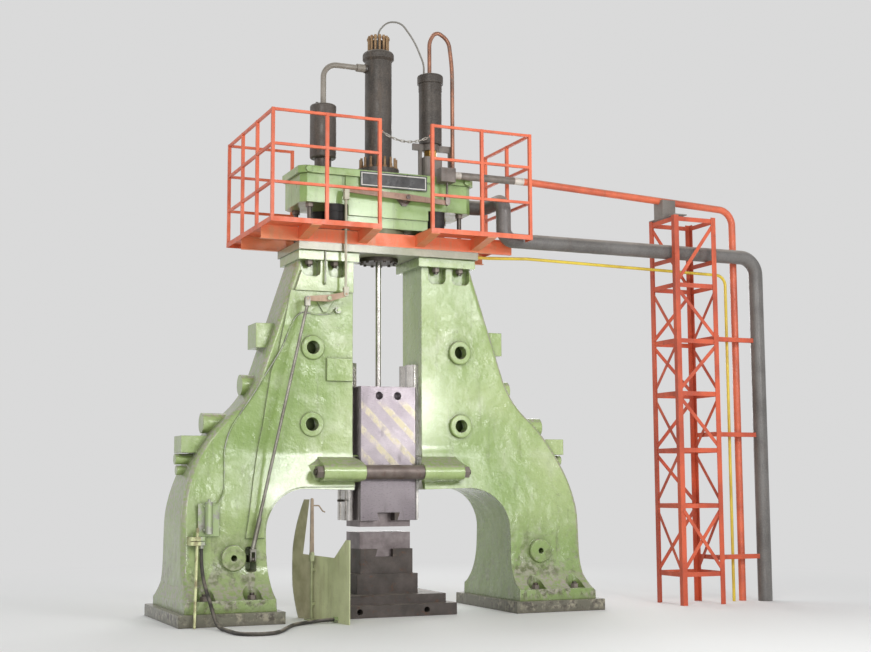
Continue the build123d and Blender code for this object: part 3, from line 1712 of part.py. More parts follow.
def lever_bracket(pivot, seat, width, below):
    """A foot on a casting's front that narrows downwards, with the lever's pivot pin and its collar."""
    x, z = pivot
    with BuildPart() as bracket:
        with BuildSketch(Plane.XZ.offset(seat)):
            Polygon(
                (x - width / 2, z + pin_boss_r),
                (x + width / 2, z + pin_boss_r),
                (x + width / 2, z),
                (x + bracket_tip, z - below),
                (x - bracket_tip, z - below),
                (x - width / 2, z),
                align=None,
            )
        extrude(amount=bracket_plate)
        with BuildSketch(Plane.XZ.offset(seat)):
            with Locations(pivot):
                Circle(pin_boss_r)
        extrude(amount=linkage_y - lever_thickness / 2 - hub_proud - collar_gap - seat)
        with BuildSketch(Plane.XZ.offset(seat)):
            with Locations(pivot):
                Circle(pin_r)
        extrude(amount=linkage_y + lever_thickness / 2 + hub_proud + collar_gap + collar - seat)
        with BuildSketch(Plane.XZ.offset(linkage_y + lever_thickness / 2 + hub_proud + collar_gap)):
            with Locations(pivot):
                RegularPolygon(1.6 * pin_r, 6)
        extrude(amount=collar)
    return bracket.part


brackets = [
    lever_bracket(rocker_pivot, neck_depth + panel_proud, rocker_bracket[0], rocker_bracket[1]),
    lever_bracket(head_lever_pivot, head_depth, head_bracket[0], head_bracket[1]),
]
keep(Compound(children=brackets), "linkage_brackets")

# Side rod from the rocker down to the crank in the left foot
foot_center = Vector(side_rod_foot[0], -side_rod_foot_y, crank_z + fork_reach + side_rod_lift)
rod_top = Vector(rocker_left[0], -linkage_y, rocker_left[1] - fork_reach)
rod_run = foot_center - rod_top
with BuildPart() as side_rod:
    add(clevis(rocker_left, rocker_left[1] - fork_reach, fork_inner, end_pin_r + running_fit))
    with BuildSketch(Plane(origin=rod_top + Vector(0, 0, fork_bridge / 2), z_dir=rod_run)):
        Circle(side_rod_r)
    extrude(amount=rod_run.length)
    with BuildSketch(Plane(origin=foot_center - rod_run.normalized() * sleeve_length, z_dir=rod_run)):
        Circle(sleeve_r)
    extrude(amount=sleeve_length)
    with BuildSketch(Plane.YZ.offset(side_rod_foot[0])):
        with Locations((-side_rod_foot_y, crank_z)):
            Circle(fork_r)
        with Locations((-side_rod_foot_y, crank_z + (fork_reach + side_rod_lift) / 2)):
            Rectangle(2 * fork_r, fork_reach + side_rod_lift)
    extrude(amount=crank_fork_gap / 2 + fork_wall, both=True)
    with BuildSketch(Plane.YZ.offset(side_rod_foot[0])):
        with Locations((-side_rod_foot_y, crank_z + (fork_reach + side_rod_lift - fork_bridge) / 2 - fork_r)):
            Rectangle(2 * fork_r + 2, fork_reach + side_rod_lift - fork_bridge + 2 * fork_r)
    extrude(amount=crank_fork_gap / 2, both=True, mode=Mode.SUBTRACT)
    with BuildSketch(Plane.YZ.offset(side_rod_foot[0])):
        with Locations((-side_rod_foot_y, crank_z)):
            Circle(crank_pin_r)
    extrude(amount=crank_fork_gap, both=True, mode=Mode.SUBTRACT)
with BuildPart() as foot_pin:
    with BuildSketch(Plane.YZ.offset(side_rod_foot[0])):
        with Locations((-side_rod_foot_y, crank_z)):
            Circle(crank_pin_r)
    extrude(amount=crank_fork_gap / 2 + fork_wall, both=True)
keep(Compound(children=[side_rod.part, foot_pin.part]), "side_rod")

# Crank in the recess of the left foot, on its cross shaft
crank_left = side_rod_foot[0] - recess_width / 2 - crank_bearing + 2
with BuildPart() as lower_crank:
    with BuildSketch(Plane.YZ.offset(side_rod_foot[0])):
        with Locations((-crank_pivot_y, crank_z)):
            Circle(crank_hub_r)
        with Locations((-side_rod_foot_y, crank_z)):
            Circle(eye_r)
        make_hull()
        with Locations((-side_rod_foot_y, crank_z)):
            Circle(crank_pin_r + crank_slack, mode=Mode.SUBTRACT)
    extrude(amount=lever_thickness / 2, both=True)
    with BuildSketch(Plane.YZ.offset(crank_left)):
        with Locations((-crank_pivot_y, crank_z)):
            Circle(crank_shaft_r)
    extrude(amount=-arch_half + shaft_stub - crank_left)
    with BuildSketch(Plane.YZ.offset(shaft_stub - arch_half)):
        with Locations((-crank_pivot_y, crank_z)):
            Circle(1.6 * crank_shaft_r)
    extrude(amount=-shaft_stub / 2)
keep(lower_crank.part, "lower_crank")

# Hand lever: post with its fork, and the lever with its hooked handle
with BuildPart() as lever_post:
    with BuildSketch(Plane.XY):
        with Locations((hand_x - hand_hub_r, -hand_y)):
            Rectangle(4 * hand_hub_r, 5 * hand_hub_r)
    extrude(amount=post_foot)
    with BuildSketch(Plane.XY):
        with Locations((hand_x, -hand_y)):
            Circle(post_r)
    extrude(amount=hand_pivot_z - fork_reach + fork_bridge / 2)
    with BuildSketch(Plane.XZ.offset(hand_y)):
        with Locations((hand_x, hand_pivot_z)):
            Circle(hand_hub_r)
        with Locations((hand_x, hand_pivot_z - fork_reach / 2)):
            Rectangle(2 * hand_hub_r, fork_reach)
    extrude(amount=fork_inner / 2 + fork_wall, both=True)
    with BuildSketch(Plane.XZ.offset(hand_y)):
        with Locations((hand_x, hand_pivot_z - (fork_reach - fork_bridge) / 2 + hand_hub_r)):
            Rectangle(2 * hand_hub_r + 2, fork_reach - fork_bridge + 2 * hand_hub_r)
    extrude(amount=fork_inner / 2, both=True, mode=Mode.SUBTRACT)
    with BuildSketch(Plane.XZ.offset(hand_y)):
        with Locations((hand_x, hand_pivot_z)):
            Circle(end_pin_r)
    extrude(amount=fork_inner / 2 + fork_wall + collar, both=True)
    guard_run = (Vector(*guard_corner) - Vector(*guard_rear)).normalized()
    guard_side = Vector(-guard_run.Y, guard_run.X)
    guard_gap = guard_side.dot(Vector(*guard_rear) - Vector(hand_x, -hand_y))
    for z in clip_levels:
        with BuildSketch(Plane(origin=(hand_x, -hand_y, z), x_dir=guard_side, z_dir=(0, 0, 1))):
            Rectangle(guard_gap - guard_thickness / 2, 2 * post_r, align=(Align.MIN, Align.CENTER))
        extrude(amount=clip_height)
keep(lever_post.part, "lever_post")

with BuildPart() as hand_lever:
    with BuildSketch(Plane.XZ.offset(hand_y)):
        with Locations((hand_x, hand_pivot_z)):
            Circle(hand_hub_r)
        with Locations((hand_x, hand_top)):
            Circle(hand_tip_r)
        make_hull()
        with Locations((hand_x, hand_pivot_z)):
            Circle(end_pin_r + running_fit, mode=Mode.SUBTRACT)
    extrude(amount=lever_thickness / 2, both=True)
hook = tube(
    [
        (hand_x, -hand_y, hand_top - hook_drop[0]),
        (hand_x + hook_reach[0], -hand_y, hand_top - hook_drop[0]),
        (hand_x + hook_reach[1], -hand_y, hand_top - hook_drop[1]),
        (hand_x + hook_reach[2], -hand_y, hand_top - hook_drop[2]),
    ],
    hook_r,
    0,
    hook_bend,
)
keep(hand_lever.part + hook, "hand_lever")

# Guard: one bent sheet, its window cut for the hand lever
with BuildPart() as guard_plate:
    with BuildSketch(Plane.XY):
        with BuildLine():
            Polyline(guard_rear, guard_corner, guard_front)
        trace(line_width=guard_thickness)
    extrude(amount=guard_rear_top)
    with BuildSketch(Plane.XZ):
        with BuildLine():
            arch_edge = ThreePointArc(
                (guard_rear[0] + guard_bow, 0),
                (guard_rear[0], guard_rear_top / 2),
                (guard_strip_x[0], guard_rear_top),
            )
            Polyline(
                arch_edge @ 1,
                (guard_strip_x[1], guard_rear_top),
                (guard_window_x[0], guard_notch_z),
                (guard_window_x[1], guard_notch_z - guard_notch_fall),
                (guard_window_x[2], guard_front_top),
                (guard_front[0] + guard_notch_fall, guard_front_top),
                (guard_front[0] + guard_notch_fall, 0),
                arch_edge @ 0,
            )
        make_face()
    extrude(amount=2 * toe_depth, both=True, mode=Mode.INTERSECT)
keep(guard_plate.part, "guard_plate")

# Lubricator on its plate, the line from it up the column, and the pole in its clamp
plate_back = front_depth(plate_foot_z) + seat_gap + plate_gap
lubricator_y = plate_back + plate_sheet + lubricator_r - lubricator_seat
with BuildPart() as lubricator:
    with BuildSketch(Plane.XZ.offset(plate_back)):
        with Locations((sum(lubricator_plate) / 2, (plate_foot_z + lubricator_z[1]) / 2)):
            RectangleRounded(
                lubricator_plate[1] - lubricator_plate[0],
                lubricator_z[1] - plate_foot_z,
                plate_sheet,
            )
    extrude(amount=plate_sheet)
    with BuildSketch(Plane.XZ.offset(plate_back)):
        for x in (lubricator_plate[0] + lubricator_r, lubricator_plate[1] - lubricator_r):
            with Locations((x, plate_foot_z + lubricator_r / 2)):
                Circle(lubricator_r / 3)
    extrude(amount=-plate_gap)
    for low, high, radius in (
        (lubricator_z[0], lubricator_z[1], lubricator_r),
        (lubricator_z[0] - lubricator_cap, lubricator_z[0], lubricator_r + 2),
        (lubricator_z[1], lubricator_z[1] + lubricator_cap, lubricator_r + 2),
        (lubricator_z[1] + lubricator_cap, lubricator_z[1] + 3 * lubricator_cap, lubricator_r / 3),
    ):
        with BuildSketch(Plane.XY.offset(low)):
            with Locations((lubricator_x, -lubricator_y)):
                Circle(radius)
        extrude(amount=high - low)
    with BuildSketch(Plane.XZ.offset(plate_back + plate_sheet)):
        with Locations(
            (lubricator_x, lubricator_z[0] + 2 * lubricator_cap),
            (lubricator_x, lubricator_z[1] - 2 * lubricator_cap),
        ):
            Rectangle(2 * lubricator_r + 2 * lubricator_cap, lubricator_cap)
    extrude(amount=lubricator_r)

junction_back = neck_depth + panel_proud
line_heading = (Vector(*line_route[0]) - Vector(*junction)).normalized()
line_start = Vector(*junction) + line_heading * (junction_r + seat_gap)
line_points = [(line_start.X, -(junction_back + line_r + 1), line_start.Y)]
for x, z in line_route:
    skin = front_depth(z) + (panel_proud if x > line_leaves_panel else 0)
    line_points.append((x, -(skin + line_r + 1), z))
line_points.append((lubricator_x + 2 * lubricator_r, -lubricator_y, lubricator_z[1] - lubricator_cap))
line_points.append((lubricator_x + lubricator_r / 2, -lubricator_y, lubricator_z[1] - lubricator_cap))
line = tube(line_points, line_r, 0, route_radii(line_points, "lubrication line"))
with BuildPart() as junction_valve:
    with BuildSketch(Plane.XZ.offset(junction_back)):
        with Locations(junction):
            Circle(junction_r)
    extrude(amount=junction_depth)
    with BuildSketch(Plane.XZ.offset(junction_back + junction_depth)):
        with Locations(junction):
            RegularPolygon(junction_r / 2, 6)
    extrude(amount=junction_depth / 4)

feed_y = max(neck_depth + block_proud, flange_depth) + feed_r + seat_gap
feed_pipe = tube(
    [
        (feed_x, -feed_y, flange_top - seat_gap),
        (feed_x, -feed_y, feed_bottom),
        (feed_x, -(neck_depth + block_proud + seat_gap), feed_bottom),
    ],
    feed_r,
    0,
    2 * feed_r,
)

clamp_back = front_depth(clamp_z[0]) + seat_gap
pole_start = Vector(pole_foot[0], -pole_foot[1], 0)
pole_run = Vector(pole_top[0], -pole_top[1], pole_top[2]) - pole_start
with BuildPart() as clamp:
    with BuildSketch(Plane.XY.offset(clamp_z[0])):
        with Locations((sum(clamp_x) / 2, -(clamp_back + clamp_front) / 2)):
            outline = Rectangle(clamp_x[1] - clamp_x[0], clamp_front - clamp_back)
            chamfer(outline.vertices().group_by(Axis.Y)[0], length=pole_r)
    extrude(amount=clamp_z[1] - clamp_z[0])
    with BuildSketch(Plane.XY.offset(clamp_z[0])):
        with Locations((hose_exit[0], -hose_exit[1])):
            Circle(hose_socket_r)
    extrude(amount=-hose_socket)
    with BuildSketch(Plane(origin=pole_start, z_dir=pole_run)):
        Circle(pole_r + bolt_fit)
    extrude(amount=2 * pole_run.length, mode=Mode.SUBTRACT)
    with BuildSketch(Plane.YZ.offset(clamp_x[0])):
        with Locations((-clamp_front, (clamp_z[0] + clamp_z[1]) / 2)):
            Rectangle(4 * pole_r, pole_r / 2)
    extrude(amount=clamp_x[1] - clamp_x[0], mode=Mode.SUBTRACT)
with BuildPart() as pole:
    with BuildSketch(Plane(origin=pole_start, z_dir=pole_run)):
        Circle(pole_r)
    extrude(amount=pole_run.length)
    split(bisect_by=Plane.XY.offset(seat_gap), keep=Keep.TOP)

guard_front_run = (Vector(*guard_front) - Vector(*guard_corner)).normalized()
gland_x = guard_corner[0] + (gland_y + guard_corner[1]) * guard_front_run.X / -guard_front_run.Y
gland_normal = Vector(guard_front_run.Y, -guard_front_run.X, 0)
gland_start = Vector(gland_x, -gland_y, gland_z) + gland_normal * (guard_thickness / 2 + seat_gap)
with BuildPart() as hose_gland:
    with BuildSketch(Plane(origin=gland_start, z_dir=gland_normal)):
        RegularPolygon(gland_nut_r, 6)
    extrude(amount=gland_nut)
fittings = [lubricator.part + line, junction_valve.part, feed_pipe, clamp.part, pole.part, hose_gland.part]
keep(Compound(children=fittings), "foot_fittings")

hose_points = [(hose_exit[0], -hose_exit[1], clamp_z[0] - hose_socket - seat_gap), *hose_route]
hose_points.append(tuple(gland_start + gland_normal * (gland_nut + seat_gap)))
hose = tube(hose_points, hose_r, 0, route_radii(hose_points, "floor hose"))
print("floor hose length", round(hose.volume / (math.pi * hose_r**2)))
keep(hose, "floor_hose")


def tower_corner(x_side, y_side):
    """One corner angle, its legs along the outer faces."""
    x = tower_x[x_side]
    y = tower_y[y_side]
    inward_x = 1 if x_side == 0 else -1
    inward_y = 1 if y_side == 0 else -1
    with BuildPart() as corner:
        with BuildSketch(Plane.XY):
            Polygon(
                (x, y),
                (x + inward_x * angle_size, y),
                (x + inward_x * angle_size, y + inward_y * angle_wall),
                (x + inward_x * angle_wall, y + inward_y * angle_wall),
                (x + inward_x * angle_wall, y + inward_y * angle_size),
                (x, y + inward_y * angle_size),
                align=None,
            )
        extrude(amount=tower_height)
    return corner.part


# Lattice tower: corner angles, level bars inside them, and diagonals
lattice = [tower_corner(i, j) for i in (0, 1) for j in (0, 1)]
side_levels = (*ring_levels, return_z - return_r - ring_width / 2)
ring_gap = 2 * angle_wall + 1
for j, inward in ((0, 1), (1, -1)):
    y = tower_y[j] + inward * 1.5 * angle_wall
    for z in ring_levels:
        lattice.append(
            bar(
                (tower_x[0] + ring_gap, y, z),
                (tower_x[1] - ring_gap, y, z),
                angle_wall,
                ring_width,
                (0, 0, 1),
            )
        )
for i, inward in ((0, 1), (1, -1)):
    x = tower_x[i] + inward * 1.5 * angle_wall
    for z in side_levels:
        lattice.append(
            bar(
                (x, tower_y[0] + angle_wall, z),
                (x, tower_y[1] - angle_wall, z),
                angle_wall,
                ring_width,
                (0, 0, 1),
            )
        )


def diagonal(face, low, high, rising, outside):
    """A flat diagonal between two levels; rising to the far end, on or in the face."""
    low_z = low + brace_inset
    high_z = high - brace_inset
    start_z, end_z = (low_z, high_z) if rising else (high_z, low_z)
    if face in ("front", "rear"):
        sign = 1 if face == "front" else -1
        depth = -0.5 * angle_wall if outside else 1.5 * angle_wall
        y = tower_y[0 if face == "front" else 1] + sign * depth
        first = (tower_x[0] + brace_end, y, start_z)
        last = (tower_x[1] - brace_end, y, end_z)
        return bar(first, last, brace_width, angle_wall, (0, 1, 0))
    sign = 1 if face == "left" else -1
    depth = -0.5 * angle_wall if outside else 1.5 * angle_wall
    x = tower_x[0 if face == "left" else 1] + sign * depth
    first = (x, tower_y[0] + brace_end, start_z)
    last = (x, tower_y[1] - brace_end, end_z)
    return bar(first, last, brace_width, angle_wall, (1, 0, 0))


bays = list(zip(ring_levels, ring_levels[1:]))
front_pattern = ("both", None, "fall", "rise", "fall", "rise")
for (low, high), pattern in zip(bays, front_pattern):
    if pattern in ("rise", "both"):
        lattice.append(diagonal("front", low, high, True, False))
    if pattern in ("fall", "both"):
        lattice.append(diagonal("front", low, high, False, pattern == "both"))
for number, (low, high) in enumerate(bays):
    lattice.append(diagonal("rear", low, high, number % 2 == 0, False))
for number, (low, high) in enumerate(bays[:-1]):
    lattice.append(diagonal("left", low, high, number % 2 == 0, False))
    lattice.append(diagonal("right", low, high, number % 2 == 1, False))

# Cross bars on the right face, and the arms from them to the return pipe
for z in arm_levels:
    x = tower_x[1] + angle_wall / 2
    lattice.append(bar((x, tower_y[0], z), (x, tower_y[1], z), angle_wall, ring_width, (0, 0, 1)))
    with BuildPart() as arm_piece:
        with BuildSketch(Plane.XY.offset(z - arm_bar / 2)):
            with Locations((tower_x[1] + angle_wall, return_y)):
                Rectangle(
                    return_down_x - tower_x[1] - angle_wall, arm_bar, align=(Align.MIN, Align.CENTER)
                )
            with Locations((return_down_x, return_y)):
                Circle(return_r, mode=Mode.SUBTRACT)
        extrude(amount=arm_bar)
    lattice.append(arm_piece.part)
keep(Compound(children=lattice), "tower_lattice")

# Saddle on top of the tower, cut to the slope of the pressure pipe
pressure_fall = (pressure_start_z - pressure_end_z) / (pressure_down_x - pressure_bend_x)
saddle_z = pressure_start_z - (tower_x[0] - pressure_bend_x) * pressure_fall
with BuildPart() as tower_saddle:
    with BuildSketch(Plane.XY.offset(tower_height)):
        with Locations((tower_x[0], (tower_y[0] + tower_y[1]) / 2)):
            Rectangle(saddle_reach, tower_y[1] - tower_y[0], align=(Align.MIN, Align.CENTER))
    extrude(amount=saddle_plate)
    with BuildSketch(Plane.XY.offset(tower_height)):
        with Locations((tower_x[0], pressure_y)):
            Rectangle(saddle_reach, 2 * saddle_half, align=(Align.MIN, Align.CENTER))
    extrude(amount=saddle_z - tower_height)
    with BuildSketch(
        Plane(origin=(tower_x[0], pressure_y, saddle_z), z_dir=(1, 0, -pressure_fall))
    ):
        Circle(pressure_r + bolt_fit)
    extrude(amount=2 * saddle_reach, both=True, mode=Mode.SUBTRACT)
keep(tower_saddle.part, "tower_saddle")

# Long pipes
pressure_pipe = tube(
    [
        (valve_block_x[1], pressure_y, pressure_start_z),
        (pressure_bend_x, pressure_y, pressure_start_z),
        (pressure_down_x, pressure_y, pressure_end_z),
        (pressure_down_x, pressure_y, 0),
    ],
    pressure_r,
    pressure_r - pressure_wall,
    [2 * pressure_bend, pressure_bend],
)
keep(pressure_pipe, "pressure_pipe")

return_pipe = tube(
    [
        (head_half, return_port[0], return_port[1]),
        (return_riser_x, return_port[0], return_port[1]),
        (return_riser_x, return_y, return_port[1]),
        (return_riser_x, return_y, return_z),
        (return_down_x, return_y, return_z),
        (return_down_x, return_y, 0),
    ],
    return_r,
    return_r - return_wall,
    [return_elbow, return_elbow, return_elbow, return_bend],
)
keep(return_pipe, "return_pipe")

drain_pipe = tube(
    [
        (slab_half, drain_y[0], drain_z),
        (drain_bend_x, drain_y[0], drain_z),
        (drain_bend_x + drain_swing, drain_y[1], drain_z - drain_fall / 9),
        (drain_down_x, drain_y[1], drain_z - drain_fall),
        (drain_down_x, drain_y[1], 0),
    ],
    drain_r,
    0,
    [drain_bend, drain_bend, drain_bend],
)
keep(drain_pipe, "drain_pipe")
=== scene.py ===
import json
import math

import bpy
from mathutils import Matrix, Vector


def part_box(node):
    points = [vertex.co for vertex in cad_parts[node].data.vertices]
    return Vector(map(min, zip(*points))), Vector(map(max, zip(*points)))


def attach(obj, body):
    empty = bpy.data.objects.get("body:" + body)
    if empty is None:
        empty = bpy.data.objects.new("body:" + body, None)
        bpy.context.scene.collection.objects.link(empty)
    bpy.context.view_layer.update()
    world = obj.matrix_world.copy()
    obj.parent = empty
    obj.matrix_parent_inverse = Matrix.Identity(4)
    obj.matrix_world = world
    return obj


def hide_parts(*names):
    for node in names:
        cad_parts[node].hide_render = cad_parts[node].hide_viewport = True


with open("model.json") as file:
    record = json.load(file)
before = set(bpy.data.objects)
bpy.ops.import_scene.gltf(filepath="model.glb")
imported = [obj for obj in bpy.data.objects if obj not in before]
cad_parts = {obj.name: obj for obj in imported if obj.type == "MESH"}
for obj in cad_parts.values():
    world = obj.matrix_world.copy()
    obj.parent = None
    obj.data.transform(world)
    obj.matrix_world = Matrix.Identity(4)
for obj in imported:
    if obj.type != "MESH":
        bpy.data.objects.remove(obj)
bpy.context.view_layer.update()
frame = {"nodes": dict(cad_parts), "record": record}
nodes = frame["nodes"]

# Sockets of a colour Mix node, which share their names with those for other kinds of data.
MIX_SHARE, MIX_UNDER, MIX_OVER, MIX_RESULT = 0, 6, 7, 2
CORNER_SAMPLES = 6
EDGE_SAMPLES = 4


def linear(value):
    """One 0 to 255 sRGB channel as linear light."""
    share = value / 255
    return share / 12.92 if share <= 0.04045 else ((share + 0.055) / 1.055) ** 2.4


def rgb(red, green, blue):
    """A colour written as it should look, for a node socket."""
    return (linear(red), linear(green), linear(blue), 1.0)


GREY_DUST = rgb(158, 148, 136)
MAUVE_DUST = rgb(166, 158, 148)
RUST = rgb(118, 74, 46)
BLACK_OIL = rgb(26, 24, 22)
CHIPPED = rgb(70, 62, 54)

# How a texture is stretched to draw a grain: none, along an upright or along a level piece.
NO_GRAIN = (1, 1, 1)
UPRIGHT = (6.0, 6.0, 0.12)
ACROSS = (0.15, 5.0, 5.0)


class Recipe:
    """One procedural material. Its textures run in metres, in the frame of the whole object."""

    def __init__(self, name):
        self.name = name
        self.colour = None
        self.material = bpy.data.materials.new(name)
        self.material.use_nodes = True
        tree = self.material.node_tree
        self.nodes, self.links = tree.nodes, tree.links
        self.shader = self.nodes["Principled BSDF"]
        self.place = self.nodes.new("ShaderNodeTexCoord").outputs["Object"]
        self.normal = self.nodes.new("ShaderNodeNewGeometry").outputs["Normal"]

    def feed(self, socket, value):
        """Links the socket to another one, or sets a plain value on it."""
        if isinstance(value, bpy.types.NodeSocket):
            self.links.new(value, socket)
        else:
            socket.default_value = value

    def set(self, **values):
        """Shader inputs by name, with underscores for spaces."""
        for name, value in values.items():
            self.feed(self.shader.inputs[name.replace("_", " ")], value)
        return self

    def stretched(self, factors):
        """The object's coordinates, each times a factor."""
        node = self.nodes.new("ShaderNodeMapping")
        self.feed(node.inputs["Vector"], self.place)
        node.inputs["Scale"].default_value = factors
        return node.outputs["Vector"]

    def noise(self, scale, detail=4.0, rough=0.55, stretch=None, warp=0.0):
        node = self.nodes.new("ShaderNodeTexNoise")
        self.feed(node.inputs["Vector"], self.stretched(stretch) if stretch else self.place)
        node.inputs["Scale"].default_value = scale
        node.inputs["Detail"].default_value = detail
        node.inputs["Roughness"].default_value = rough
        node.inputs["Distortion"].default_value = warp
        return node.outputs["Fac"]

    def step(self, value, low, high, start=0.0, end=1.0):
        """Goes smoothly from start to end as value goes from low to high."""
        node = self.nodes.new("ShaderNodeMapRange")
        node.interpolation_type = "SMOOTHSTEP"
        self.feed(node.inputs["Value"], value)
        node.inputs["From Min"].default_value = low
        node.inputs["From Max"].default_value = high
        node.inputs["To Min"].default_value = start
        node.inputs["To Max"].default_value = end
        return node.outputs["Result"]

    def math(self, operation, first, second, clamp=True):
        node = self.nodes.new("ShaderNodeMath")
        node.operation = operation
        node.use_clamp = clamp
        self.feed(node.inputs[0], first)
        self.feed(node.inputs[1], second)
        return node.outputs["Value"]

    def both(self, first, second):
        return self.math("MULTIPLY", first, second)

    def either(self, first, second):
        return self.math("MAXIMUM", first, second)

    def but(self, first, second):
        """first where second is not."""
        return self.both(first, self.math("SUBTRACT", 1.0, second))

    def mix(self, share, under, over):
        node = self.nodes.new("ShaderNodeMix")
        node.data_type = "RGBA"
        self.feed(node.inputs[MIX_SHARE], share)
        self.feed(node.inputs[MIX_UNDER], under)
        self.feed(node.inputs[MIX_OVER], over)
        return node.outputs[MIX_RESULT]

    def part(self, vector, axis):
        node = self.nodes.new("ShaderNodeSeparateXYZ")
        self.feed(node.inputs["Vector"], vector)
        return node.outputs[axis]

    def at(self, axis):
        """How far along X, Y or Z a point of the object is."""
        return self.part(self.place, axis)

    def turned(self, axis):
        """How much a face looks along X, Y or Z, from -1 to 1."""
        return self.part(self.normal, axis)

    def band(self, axis, low, high, soft=0.003):
        """1 between two places along an axis."""
        value = self.at(axis)
        return self.both(
            self.step(value, low - soft, low + soft),
            self.step(value, high - soft, high + soft, 1.0, 0.0),
        )

    def facing_up(self, low=0.35, high=0.95):
        return self.step(self.turned("Z"), low, high)

    def outward(self):
        """Positive on faces turned to the sides, negative on those turned to the ram."""
        return self.math("MULTIPLY", self.at("X"), self.turned("X"), clamp=False)

    def shelf(self, flanks):
        """Where dust lies: level faces and, if flanks is set, the outer sides of the frame."""
        level = self.facing_up(0.45, 0.75)
        if not flanks:
            return level
        lean = self.step(self.turned("Z"), -0.12, 0.14)
        return self.either(level, self.both(lean, self.step(self.outward(), 0.4, 0.7)))

    def corner_grime_and_shade(self, distance):
        """Masks inner corners, where grime gathers and painted shade falls."""
        node = self.nodes.new("ShaderNodeAmbientOcclusion")
        node.samples = CORNER_SAMPLES
        node.inputs["Distance"].default_value = distance
        return self.step(node.outputs["AO"], 0.62, 0.97, 1.0, 0.0)

    def bevelled(self, radius, samples):
        """The normal that rounded edges would have."""
        node = self.nodes.new("ShaderNodeBevel")
        node.samples = samples
        node.inputs["Radius"].default_value = radius
        return node.outputs["Normal"]

    def rounded(self, radius):
        """Softens every edge as a coat of paint or wear does; any bump comes after it."""
        self.set(Normal=self.bevelled(radius, CORNER_SAMPLES))

    def edges(self, radius):
        """Masks edges by comparing a rounded normal with the real one."""
        dot = self.nodes.new("ShaderNodeVectorMath")
        dot.operation = "DOT_PRODUCT"
        self.feed(dot.inputs[0], self.bevelled(radius, EDGE_SAMPLES))
        self.feed(dot.inputs[1], self.normal)
        return self.step(self.math("SUBTRACT", 1.0, dot.outputs["Value"]), 0.03, 0.25)

    def bump(self, height, strength, distance):
        """Adds a relief of so many metres over the reliefs and rounding before it."""
        node = self.nodes.new("ShaderNodeBump")
        node.inputs["Strength"].default_value = strength
        node.inputs["Distance"].default_value = distance
        self.feed(node.inputs["Height"], height)
        previous = self.shader.inputs["Normal"]
        if previous.links:
            self.feed(node.inputs["Normal"], previous.links[0].from_socket)
        self.feed(previous, node.outputs["Normal"])


